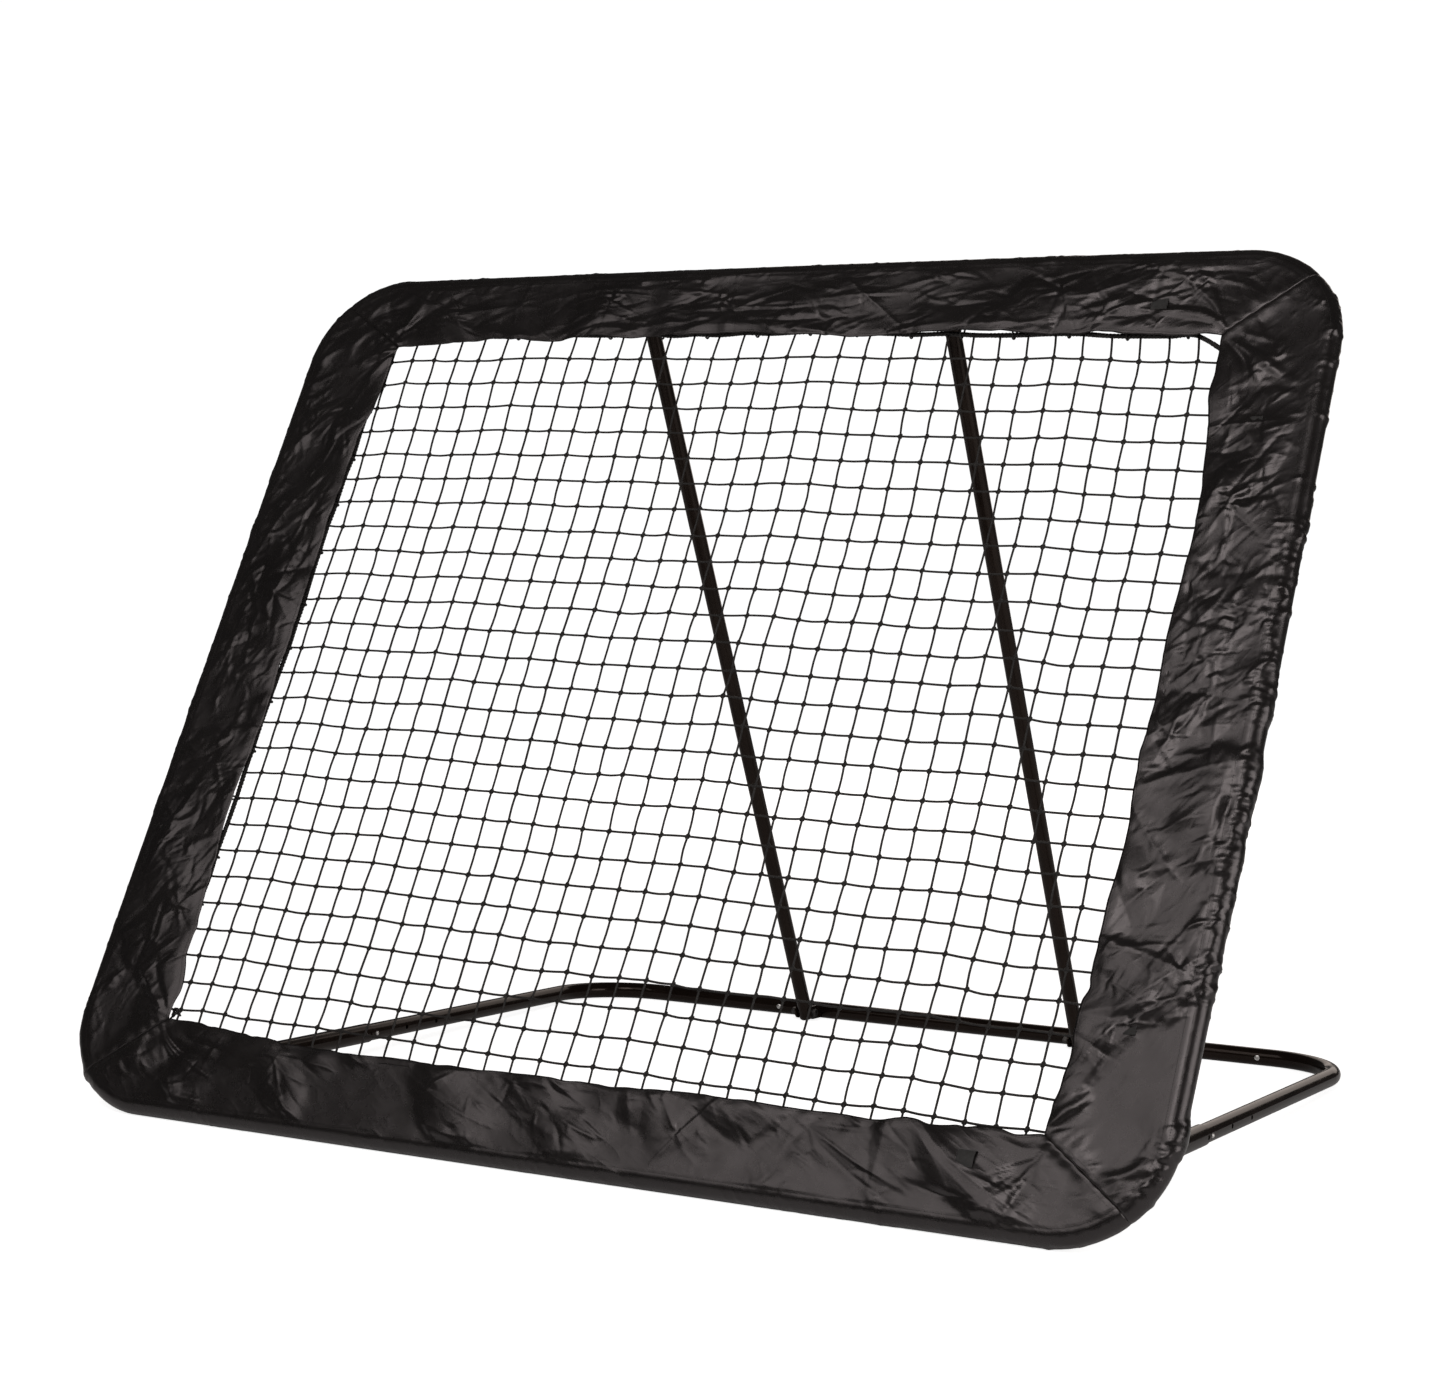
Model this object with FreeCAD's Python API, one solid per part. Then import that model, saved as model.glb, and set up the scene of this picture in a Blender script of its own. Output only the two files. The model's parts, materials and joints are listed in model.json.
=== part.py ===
import FreeCAD, Part
import math
import os

# A pitch back rebounder: a tight ball net in a leaning rectangle of steel tube, on a stand of
# two sleeved legs, a rear U of tube and two struts. A fabric cover hides the frame tube.
#
# Millimetres. +X is to the right seen from the front, +Y to the back, +Z up. The origin is on
# the ground, in the middle of the rectangle that the rebounder stands in.
#
# Front frame parts are modelled upright, with X along the bottom tube, Y behind the net and Z
# up the frame from the centre of the bottom tube, and then leaned back. Leg parts are modelled
# level, with Y back along the legs from their hinge, and then sloped down to the rear tube.

V = FreeCAD.Vector
X_AXIS = V(1, 0, 0)
Y_AXIS = V(0, 1, 0)
Z_AXIS = V(0, 0, 1)
ORIGIN = V(0, 0, 0)

# ---- Driving dimensions ----

frame_width = 1765.0        # between the centres of the side tubes
frame_length = 1453.0       # between the centres of the bottom and top tubes
frame_bend = 140.0          # corner bend, at the tube's centre
frame_angle = 61.2          # the net's slope from the ground
frame_tube_r = 14.3
frame_tube_wall = 1.5
corner_arm = 300.0          # straight run of a corner tube, each side of its bend

spigot_gap = 0.2            # swaged end inside the next tube
spigot_wall = 1.3
spigot_length = 45.0
shoulder = 6.0              # where a tube end narrows into its spigot
screw_inset = 20.0          # joint screw from the end of the outer tube
screw_r = 2.4
screw_head_r = 4.4
screw_head_height = 2.2
screw_dome_r = 8.0
screw_length = 8.0
hole_slack = 0.1            # round a screw or bolt that doesn't turn

cover_r_in = 17.6           # fabric sleeve round the tube and the elastic loops
fabric = 1.0
flap_side = 139.0           # front flaps, from the tube's centre to the inner edge
flap_top = 109.0
flap_bottom = 119.0
flap_drop = 9.4             # how far a side flap falls back towards the net
back_flap = 45.0
notch_top = 34.0            # half width of the back flap's cut-outs at the brackets
notch_bottom = 38.0
notch_depth = 4.0           # cut-outs reach this far inside the sleeve

mesh = 44.67                # net square, knot to knot
mesh_columns = 33
mesh_rows = 28
cord = 2.4
net_bottom = 105.0          # border rope's centre, up from the bottom tube
rope_r = 4.0
rope_bend = 10.3
rope_gap = 0.3

elastic_r = 1.5
elastic_gap = 0.1
loops_wide = 16             # elastic loops along the top and bottom
loops_high = 14             # elastic loops along each side
strap_width = 25.0
strap_thick = 0.9

bracket_back = 33.4         # hinge centre behind the frame tube
bracket_in = 57.0           # hinge centre inwards from the frame tube
ear_thick = 3.0
ear_r = 13.0
ear_gap = 0.5               # beside the tube that swings between two ears
web_thick = 3.0
bolt_r = 4.0
running_slack = 0.08        # round a bolt that is a hinge pin
washer_r = 8.5
washer_thick = 1.5
bolt_head_flats = 13.0
bolt_head_height = 5.3
nut_height = 6.5
thread_end = 3.0

leg_x = 742.0               # centre of each leg
sleeve_r = 16.2
sleeve_wall = 1.5
sleeve_nose = 14.0          # sleeve in front of its hinge
sleeve_back = 519.0         # sleeve behind its hinge
lock_hole_inset = 8.0
rear_tube_r = 14.4
rear_tube_wall = 1.5
rear_bend = 140.0
rear_reach = 1315.0         # rear tube's centre behind the bottom tube's centre
insertion = 240.0           # leg tube inside its sleeve
left_joint_x = -358.0       # ends of the rear cross tube
right_joint_x = 600.0
hole_pitch = 87.0           # spare lock holes along a leg tube
spare_holes = 2

button_r = 3.5
button_slack = 0.2
button_behind_sleeve = 10.6
button_proud = 3.2
button_dome_r = 4.5
leaf_thick = 1.0
leaf_half_width = 3.0
leaf_length = 46.0
leaf_behind_button = 8.0
leaf_radius = 12.2          # outer face of the leaf, from the leg tube's centre

strut_x = 267.0
strut_r = 12.5
strut_wall = 1.3
strut_nose = 14.0           # strut past its upper hinge
strut_heel = 8.6            # strut past its foot pivot
foot_forward = 44.0         # foot pivot in front of the rear tube's centre
foot_height = 16.0
foot_slack = 1.0            # the foot's hole is wider than its bolt
foot_ear_r = 12.0
plug_flange = 2.0
plug_stem = 4.0
plug_gap = 0.1

# ---- Worked-out dimensions ----

half_width = frame_width / 2
half_length = frame_length / 2
straight_x = half_width - frame_bend
tube_height = cover_r_in + fabric
lean_back = 90.0 - frame_angle
lean_cos = math.cos(math.radians(lean_back))
lean_sin = math.sin(math.radians(lean_back))
depth = tube_height + rear_reach + rear_tube_r
front_y = tube_height - depth / 2
rear_y = front_y + rear_reach
net_half_width = mesh_columns * mesh / 2 + 2.0
net_top = net_bottom + mesh_rows * mesh
mid_joint_x = straight_x - corner_arm
mid_joint_z = half_length - frame_bend - corner_arm

SIDES = {
    "bottom": (0.0, V(0, 0, 0)),
    "right": (-90.0, V(half_width, 0, half_length)),
    "top": (180.0, V(0, 0, frame_length)),
    "left": (90.0, V(-half_width, 0, half_length)),
}


# ---- Placing ----

def lean(shape):
    """Lean a front frame part back and stand it on the ground."""
    shape = shape.copy()
    shape.rotate(ORIGIN, X_AXIS, -lean_back)
    shape.translate(V(0, front_y, tube_height))
    return shape


def leaned_point(behind, up):
    """Ground-frame Y and Z of a point of the front frame."""
    y = front_y + behind * lean_cos + up * lean_sin
    z = tube_height - behind * lean_sin + up * lean_cos
    return y, z


def on_side(shape, side):
    """Turn a part made for the bottom tube, inwards being +Z, to another side of the frame."""
    turn, place = SIDES[side]
    shape = shape.copy()
    shape.rotate(ORIGIN, Y_AXIS, turn)
    shape.translate(place)
    return shape


hinge_y, hinge_z = leaned_point(bracket_back, bracket_in)
top_y, top_z = leaned_point(bracket_back, frame_length - bracket_in)
foot_y = rear_y - foot_forward
leg_length = math.hypot(rear_y - hinge_y, hinge_z - rear_tube_r)
leg_slope = math.degrees(math.asin((hinge_z - rear_tube_r) / leg_length))
strut_length = math.hypot(foot_y - top_y, top_z - foot_height)
strut_swing = math.degrees(math.atan2(foot_y - top_y, top_z - foot_height))
button_y = sleeve_back + button_behind_sleeve


def slope(shape):
    """Put a leg part, made level from its hinge, at its slope."""
    shape = shape.copy()
    shape.rotate(ORIGIN, X_AXIS, -leg_slope)
    shape.translate(V(0, hinge_y, hinge_z))
    return shape


def mirrored(shape):
    return shape.mirror(ORIGIN, X_AXIS)


# ---- Building blocks ----

def ring(centre, normal, r_out, r_in):
    """Flat ring face."""
    outer = Part.Face(Part.Wire(Part.makeCircle(r_out, centre, normal)))
    inner = Part.Face(Part.Wire(Part.makeCircle(r_in, centre, normal)))
    return outer.cut(inner).Faces[0]


def tube(start, along, length, r_out, r_in):
    return ring(start, along, r_out, r_in).extrude(V(along) * length)


def bend(start, along, centre, axis, angle, r_out, r_in):
    return ring(start, along, r_out, r_in).revolve(centre, axis, angle)


def joined(shapes):
    """One solid from shapes that meet."""
    return shapes[0].fuse(shapes[1:]).removeSplitter().Solids[0]


def group(shapes):
    return Part.makeCompound([solid for shape in shapes for solid in shape.Solids])


def spigot(end, outward, r_tube, r_in):
    """Narrowed end of a tube, with the shoulder that leads into it."""
    r_out = r_tube - frame_tube_wall - spigot_gap
    r_inner = r_out - spigot_wall
    neck = end - V(outward) * shoulder
    collar = tube(neck, outward, shoulder, r_in, r_inner)
    pin = tube(end, outward, spigot_length, r_out, r_inner)
    return [collar, pin]


def drilled(shape, point, axis, radius, length):
    """Take a round hole out of a shape, centred on a point."""
    start = point - V(axis) * (length / 2)
    return shape.cut(Part.makeCylinder(radius, length, start, axis))


def domed_pin(base, outward, radius, length, dome_r):
    """Round pin whose far end is part of a sphere."""
    pin = Part.makeCylinder(radius, length, base, outward)
    return pin.common(Part.makeSphere(dome_r, base + V(outward) * (length - dome_r)))


def screw(point, outward):
    """Pan head screw whose head sits on a tube wall at the point."""
    shank = Part.makeCylinder(screw_r, screw_length, point, V(outward) * -1)
    head = domed_pin(point, outward, screw_head_r, screw_head_height, screw_dome_r)
    return joined([shank, head])


def hexagon(flats, height, start):
    """Hexagonal prism along X."""
    corner = flats / math.sqrt(3)
    points = [V(start, corner * math.cos(math.radians(60 * i)), corner * math.sin(math.radians(60 * i)))
              for i in range(7)]
    return Part.Face(Part.makePolygon(points)).extrude(V(height, 0, 0))


def bolt(half_grip):
    """Hex bolt along X, centred on its grip, head on the right."""
    face = half_grip + washer_thick
    length = 2 * face + nut_height + thread_end
    shank = Part.makeCylinder(bolt_r, length, V(face - length, 0, 0), X_AXIS)
    return joined([shank, hexagon(bolt_head_flats, bolt_head_height, face)])


def nut(half_grip):
    face = half_grip + washer_thick
    body = hexagon(bolt_head_flats, nut_height, -face - nut_height)
    return drilled(body, V(-face - nut_height / 2, 0, 0), X_AXIS, bolt_r + hole_slack, 3 * nut_height)


def washers(half_grip):
    left = tube(V(-half_grip - washer_thick, 0, 0), X_AXIS, washer_thick, washer_r, bolt_r + hole_slack)
    right = tube(V(half_grip, 0, 0), X_AXIS, washer_thick, washer_r, bolt_r + hole_slack)
    return group([left, right])


def clevis(tube_r, pivot_y, pivot_z, inner_half, round_r):
    """Two ears and a web on a tube along X at the origin, round a pivot at (Y, Z)."""
    reach = math.hypot(pivot_y, pivot_z)
    lift = math.degrees(math.atan2(pivot_z, pivot_y))
    parts = []
    for side in (-1, 1):
        inner = inner_half if side > 0 else -inner_half - ear_thick
        nose = Part.makeCylinder(round_r, ear_thick, V(inner, reach, 0), X_AXIS)
        arm = Part.makeBox(ear_thick, reach, 2 * round_r, V(inner, 0, -round_r))
        parts.append(nose.fuse(arm))
    collar = Part.makeCylinder(tube_r + web_thick, 2 * inner_half, V(-inner_half, 0, 0), X_AXIS)
    front = Part.makeBox(2 * inner_half, 2 * tube_r, 2 * round_r, V(-inner_half, 0, -round_r))
    parts.append(collar.common(front))
    body = parts[0].fuse(parts[1:])
    body = drilled(body, V(0, reach, 0), X_AXIS, bolt_r + hole_slack, 4 * inner_half)
    body.rotate(ORIGIN, X_AXIS, lift)
    return body


def plug(radius, wall, end, outward):
    """Plastic plug that closes a tube's end."""
    flange = Part.makeCylinder(radius, plug_flange, end, outward)
    stem = Part.makeCylinder(radius - wall - plug_gap, plug_stem, end, V(outward) * -1)
    return joined([flange, stem])


# ---- Front frame tubes ----

def corner_core(r_out, r_in):
    """The top right corner tube without its spigots, as pieces that meet."""
    centre = V(straight_x, 0, frame_length - frame_bend)
    above = V(straight_x, 0, frame_length)
    across = tube(V(mid_joint_x, 0, frame_length), X_AXIS, corner_arm, r_out, r_in)
    turn = bend(above, X_AXIS, centre, Y_AXIS, 90, r_out, r_in)
    down = tube(V(half_width, 0, frame_length - frame_bend), V(0, 0, -1), corner_arm, r_out, r_in)
    return [across, turn, down]


def corner_tube():
    inner_r = frame_tube_r - frame_tube_wall
    parts = corner_core(frame_tube_r, inner_r)
    parts += spigot(V(mid_joint_x, 0, frame_length), V(-1, 0, 0), frame_tube_r, inner_r)
    low_end = V(half_width, 0, frame_length - frame_bend - corner_arm)
    parts += spigot(low_end, V(0, 0, -1), frame_tube_r, inner_r)
    body = joined(parts)
    hole = screw_r + hole_slack
    top_hole = V(mid_joint_x - screw_inset, 0, frame_length - frame_tube_r)
    side_hole = V(half_width - frame_tube_r, 0, low_end.z - screw_inset)
    body = drilled(body, top_hole, Z_AXIS, hole, frame_tube_r)
    return drilled(body, side_hole, X_AXIS, hole, frame_tube_r)


def corner_tubes():
    """All four corner tubes, by mirroring the top right one."""
    top_right = corner_tube()
    middle = V(0, 0, half_length)
    bottom_right = top_right.mirror(middle, Z_AXIS)
    return {
        "frame_corner_top_right": top_right,
        "frame_corner_top_left": mirrored(top_right),
        "frame_corner_bottom_right": bottom_right,
        "frame_corner_bottom_left": mirrored(bottom_right),
    }


def middle_tube(half, side):
    """Straight tube between two corner tubes, with a screw hole near each end."""
    body = tube(V(-half, 0, 0), X_AXIS, 2 * half, frame_tube_r, frame_tube_r - frame_tube_wall)
    for end in (-1, 1):
        point = V(end * (half - screw_inset), 0, frame_tube_r)
        body = drilled(body, point, Z_AXIS, screw_r + hole_slack, frame_tube_r)
    return on_side(body, side)


def joint_screws():
    screws = []
    for side, half in (("bottom", mid_joint_x), ("top", mid_joint_x),
                       ("left", mid_joint_z), ("right", mid_joint_z)):
        for end in (-1, 1):
            point = V(end * (half - screw_inset), 0, frame_tube_r)
            screws.append(on_side(screw(point, Z_AXIS), side))
    return group(screws)


def frame_bracket(side, x, inner_half):
    """Clevis welded behind the bottom or top tube, clear of the corner bend."""
    body = clevis(frame_tube_r, bracket_back, bracket_in, inner_half, ear_r)
    body.translate(V(x, 0, 0))
    solid_tube = Part.makeCylinder(frame_tube_r, 2 * straight_x, V(-straight_x, 0, 0), X_AXIS)
    centre = V(straight_x, 0, frame_bend)
    turn = Part.Face(Part.Wire(Part.makeCircle(frame_tube_r, V(straight_x, 0, 0), X_AXIS)))
    right_turn = turn.revolve(centre, V(0, -1, 0), 45)
    body = body.cut([solid_tube, right_turn, mirrored(right_turn)]).Solids[0]
    return on_side(body, side)


def frame_hardware(side, xs, half_grip, maker):
    """Bolts, nuts or washers of a pair of frame brackets."""
    pieces = []
    for x in xs:
        piece = maker(half_grip)
        piece.translate(V(x, bracket_back, bracket_in))
        pieces.append(on_side(piece, side))
    return pieces


# ---- Net, border rope and elastic loops ----

def cord_ends(lines, base, tip, half):
    """Outline of a row of cords that stick out from base to tip, less its last point."""
    points = []
    for line in lines:
        points += [(line - half, base), (line - half, tip), (line + half, tip), (line + half, base)]
    return points[:-1]


def net_panel():
    """Flat net in one plate, its cords ending at the border rope."""
    half = cord / 2
    inset = rope_r + rope_gap
    end_x = net_half_width - inset
    xs = [(i - mesh_columns / 2) * mesh for i in range(1, mesh_columns)]
    zs = [net_bottom + j * mesh for j in range(1, mesh_rows)]
    outline = cord_ends(xs, zs[0] - half, net_bottom + inset, half)
    outline += [(x, z) for z, x in cord_ends(zs, xs[-1] + half, end_x, half)]
    outline += cord_ends(xs[::-1], zs[-1] + half, net_top - inset, -half)
    outline += [(x, z) for z, x in cord_ends(zs[::-1], xs[0] - half, -end_x, -half)]
    loops = [outline]
    for left in xs[:-1]:
        for base in zs[:-1]:
            near = (left + half, base + half)
            far = (left + mesh - half, base + mesh - half)
            loops.append([near, (near[0], far[1]), far, (far[0], near[1])])
    wires = [Part.makePolygon([V(x, -half, z) for x, z in loop + loop[:1]]) for loop in loops]
    return Part.Face(wires).extrude(V(0, cord, 0))


def border_rope():
    """Rope sewn round the net, one closed loop."""
    pieces = []
    right = net_half_width - rope_bend
    low = net_bottom + rope_bend
    high = net_top - rope_bend
    for z in (net_bottom, net_top):
        pieces.append(Part.makeCylinder(rope_r, 2 * right, V(-right, 0, z), X_AXIS))
    for x in (-net_half_width, net_half_width):
        pieces.append(Part.makeCylinder(rope_r, high - low, V(x, 0, low), Z_AXIS))
    for x, z, end_z, turn in ((right, low, net_bottom, -90), (right, high, net_top, 90),
                              (-right, high, net_top, -90), (-right, low, net_bottom, 90)):
        section = Part.Face(Part.Wire(Part.makeCircle(rope_r, V(x, 0, end_z), X_AXIS)))
        pieces.append(section.revolve(V(x, 0, z), Y_AXIS, turn))
    return pieces[0].fuse(pieces[1:]).Solids[0]


def elastic_loop(distance):
    """Elastic loop round the frame tube and the border rope, in the plane X = 0."""
    big = frame_tube_r + elastic_gap + elastic_r
    small = rope_r + elastic_gap + elastic_r
    tilt = math.asin((big - small) / distance)
    outwards = V(0, math.cos(tilt), math.sin(tilt))
    along = V(0, -math.sin(tilt), math.cos(tilt))
    far = V(0, 0, distance)
    at_tube = Part.Face(Part.Wire(Part.makeCircle(elastic_r, outwards * big, along)))
    at_rope = Part.Face(Part.Wire(Part.makeCircle(elastic_r, far + outwards * small, along)))
    wrap = 180 + 2 * math.degrees(tilt)
    pieces = [at_tube.revolve(ORIGIN, X_AXIS, -wrap), at_rope.revolve(far, X_AXIS, 360 - wrap)]
    run = distance * math.cos(tilt)
    for side in (-1, 1):
        start = V(0, side * outwards.y * big, outwards.z * big)
        pieces.append(Part.makeCylinder(elastic_r, run, start, V(0, side * along.y, along.z)))
    return pieces[0].fuse(pieces[1:]).Solids[0]


def elastic_loops(side, count, distance):
    loop = elastic_loop(distance)
    loops = []
    for i in range(count):
        piece = loop.copy()
        piece.translate(V((i - (count - 1) / 2) * 2 * mesh, 0, 0))
        loops.append(on_side(piece, side))
    return group(loops)


# ---- Cover ----

def flap_back_face(inwards):
    """Y of the front flap's hidden face, a distance inwards from the tube's centre."""
    return flap_drop * inwards / flap_side - cover_r_in


def cover_section(x, flap):
    """Section of the cover across the bottom tube: front flap, sleeve and back flap."""
    r_in = cover_r_in
    r_out = cover_r_in + fabric
    edge = flap_back_face(flap)
    edges = [
        Part.Arc(V(x, -r_out, 0), V(x, 0, -r_out), V(x, r_out, 0)).toShape(),
        Part.LineSegment(V(x, r_out, 0), V(x, r_out, back_flap)).toShape(),
        Part.LineSegment(V(x, r_out, back_flap), V(x, r_in, back_flap)).toShape(),
        Part.LineSegment(V(x, r_in, back_flap), V(x, r_in, 0)).toShape(),
        Part.Arc(V(x, r_in, 0), V(x, 0, -r_in), V(x, -r_in, 0)).toShape(),
        Part.LineSegment(V(x, -r_in, 0), V(x, edge, flap)).toShape(),
        Part.LineSegment(V(x, edge, flap), V(x, edge - fabric, flap)).toShape(),
        Part.LineSegment(V(x, edge - fabric, flap), V(x, -r_out, 0)).toShape(),
    ]
    return Part.Face(Part.Wire(edges))


def cover_panel(side, half, flap, notch_xs, notch_half):
    """One side of the cover, mitred in the middle of each corner."""
    body = [cover_section(-half, flap).extrude(V(2 * half, 0, 0))]
    turn = cover_section(half, flap_side).revolve(V(half, 0, frame_bend), V(0, -1, 0), 45)
    body += [turn, mirrored(turn)]
    panel = body[0].fuse(body[1:])
    for x in notch_xs:
        corner = V(x - notch_half, cover_r_in - notch_depth, 0)
        notch = Part.makeBox(2 * notch_half, 2 * notch_depth, 2 * back_flap, corner)
        panel = panel.cut(notch)
    return on_side(panel.Solids[0], side)


def strip(points, width, thick):
    """Flat band of even thickness along points in the YZ plane, centred on X = 0."""
    left = []
    right = []
    for i, point in enumerate(points):
        before = points[max(i - 1, 0)]
        after = points[min(i + 1, len(points) - 1)]
        way_in = (V(point) - V(before)) if i else (V(after) - V(point))
        way_out = (V(after) - V(point)) if i < len(points) - 1 else way_in
        way = (V(way_in).normalize() + V(way_out).normalize()).normalize()
        stretch = thick / 2 / way.dot(V(way_in).normalize())
        normal = V(0, -way.z, way.y) * stretch
        left.append(V(point) + normal)
        right.append(V(point) - normal)
    outline = left + right[::-1] + [left[0]]
    face = Part.Face(Part.makePolygon([p - V(width / 2, 0, 0) for p in outline]))
    return face.extrude(V(width, 0, 0))


def closure_strap():
    """Hook-and-loop strap from the front flap's hidden face to the outside of the back flap."""
    clear = 0.4 + strap_thick / 2
    outside = cover_r_in + fabric + clear
    points = [
        V(0, flap_back_face(66) + clear + 0.4, 66),
        V(0, flap_back_face(88) + clear + 0.4, 88),
        V(0, outside, back_flap + 5),
        V(0, outside, 20),
    ]
    return strip(points, strap_width, strap_thick)


def closure_straps():
    strap = closure_strap()
    straps = []
    for side, steps in (("top", (-7, -4, 0, 4, 7)), ("bottom", (-7, -4, 0, 4, 7)),
                        ("left", (-5, -2, 2, 5)), ("right", (-5, -2, 2, 5))):
        for step in steps:
            piece = strap.copy()
            piece.translate(V(step * 2 * mesh, 0, 0))
            straps.append(on_side(piece, side))
    return group(straps)


# ---- Stand ----

def leg_sleeve(side):
    """Outer tube of a leg, hinged on the front frame and open at the back."""
    body = tube(V(0, -sleeve_nose, 0), Y_AXIS, sleeve_nose + sleeve_back, sleeve_r, sleeve_r - sleeve_wall)
    body = drilled(body, ORIGIN, X_AXIS, bolt_r + running_slack, 3 * sleeve_r)
    hole = V(0, sleeve_back - lock_hole_inset, 0)
    body = drilled(body, hole, X_AXIS, button_r + button_slack, 3 * sleeve_r)
    body.translate(V(side * leg_x, 0, 0))
    return body


def sleeve_plugs():
    plugs = []
    for side in (-1, 1):
        piece = plug(sleeve_r, sleeve_wall, V(side * leg_x, -sleeve_nose, 0), V(0, -1, 0))
        plugs.append(slope(piece))
    return group(plugs)


def rear_bend_tube(joint_x):
    """Right leg tube, its bend and the start of the cross run, with a spigot at its end."""
    inner_r = rear_tube_r - rear_tube_wall
    start = sleeve_back - insertion
    turn_y = leg_length - rear_bend
    turn_x = leg_x - rear_bend
    parts = [tube(V(leg_x, start, 0), Y_AXIS, turn_y - start, rear_tube_r, inner_r)]
    parts.append(bend(V(leg_x, turn_y, 0), Y_AXIS, V(turn_x, turn_y, 0), Z_AXIS, 90, rear_tube_r, inner_r))
    if turn_x - joint_x > 0:
        parts.append(tube(V(turn_x, leg_length, 0), V(-1, 0, 0), turn_x - joint_x, rear_tube_r, inner_r))
    parts += spigot(V(joint_x, leg_length, 0), V(-1, 0, 0), rear_tube_r, inner_r)
    body = joined(parts)
    for i in range(spare_holes + 1):
        hole = V(leg_x, button_y + i * hole_pitch, 0)
        body = drilled(body, hole, X_AXIS, button_r + button_slack, 3 * rear_tube_r)
    screw_hole = V(joint_x - screw_inset, leg_length - rear_tube_r, 0)
    return drilled(body, screw_hole, Y_AXIS, screw_r + hole_slack, rear_tube_r)


def rear_cross_tube():
    length = right_joint_x - left_joint_x
    start = V(left_joint_x, leg_length, 0)
    body = tube(start, X_AXIS, length, rear_tube_r, rear_tube_r - rear_tube_wall)
    for x in (left_joint_x + screw_inset, right_joint_x - screw_inset):
        hole = V(x, leg_length - rear_tube_r, 0)
        body = drilled(body, hole, Y_AXIS, screw_r + hole_slack, rear_tube_r)
    return body


def rear_screws():
    screws = []
    for x in (left_joint_x + screw_inset, right_joint_x - screw_inset):
        piece = screw(V(x, leg_length - rear_tube_r, 0), V(0, -1, 0))
        screws.append(slope(piece))
    return group(screws)


def lock_button(leg, face):
    """Spring button in a leg tube, with the half of the spring clip that carries it."""
    top = rear_tube_r + button_proud
    stem_base = leaf_radius - leaf_thick / 2
    leaf_start = button_y + leaf_behind_button - leaf_length
    head = domed_pin(V(stem_base, button_y, 0), X_AXIS, button_r, top - stem_base, button_dome_r)
    leaf = Part.makeBox(leaf_thick, leaf_length, 2 * leaf_half_width,
                        V(leaf_radius - leaf_thick, leaf_start, -leaf_half_width))
    body = joined([head, leaf])
    if face < 0:
        body = mirrored(body)
    body.translate(V(leg * leg_x, 0, 0))
    return slope(body)


def foot_clevis(x):
    """Ears that hold a strut's foot in front of the rear tube."""
    inner_half = strut_r + ear_gap
    body = clevis(rear_tube_r, -foot_forward, foot_height - rear_tube_r, inner_half, foot_ear_r)
    solid_tube = Part.makeCylinder(rear_tube_r, 4 * inner_half, V(-2 * inner_half, 0, 0), X_AXIS)
    body = body.cut(solid_tube).Solids[0]
    body.translate(V(x, rear_y, rear_tube_r))
    return body


def foot_hardware(maker):
    half_grip = strut_r + ear_gap + ear_thick
    pieces = []
    for x in (-strut_x, strut_x):
        piece = maker(half_grip)
        piece.translate(V(x, foot_y, foot_height))
        pieces.append(piece)
    return group(pieces)


def strut(x):
    """Straight tube from the upper hinge down to the foot pivot."""
    body = tube(V(0, 0, -strut_length - strut_heel), Z_AXIS, strut_nose + strut_length + strut_heel,
                strut_r, strut_r - strut_wall)
    body = drilled(body, ORIGIN, X_AXIS, bolt_r + running_slack, 3 * strut_r)
    foot = V(0, 0, -strut_length)
    body = drilled(body, foot, X_AXIS, bolt_r + foot_slack, 3 * strut_r)
    return swung(body, x)


def strut_plugs(x):
    top = plug(strut_r, strut_wall, V(0, 0, strut_nose), Z_AXIS)
    low = plug(strut_r, strut_wall, V(0, 0, -strut_length - strut_heel), V(0, 0, -1))
    return swung(group([top, low]), x)


def swung(shape, x):
    """Turn a strut part, hanging from its upper hinge, towards the foot."""
    shape = shape.copy()
    shape.rotate(ORIGIN, X_AXIS, strut_swing)
    shape.translate(V(x, top_y, top_z))
    return shape


# ---- The whole rebounder ----

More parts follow.
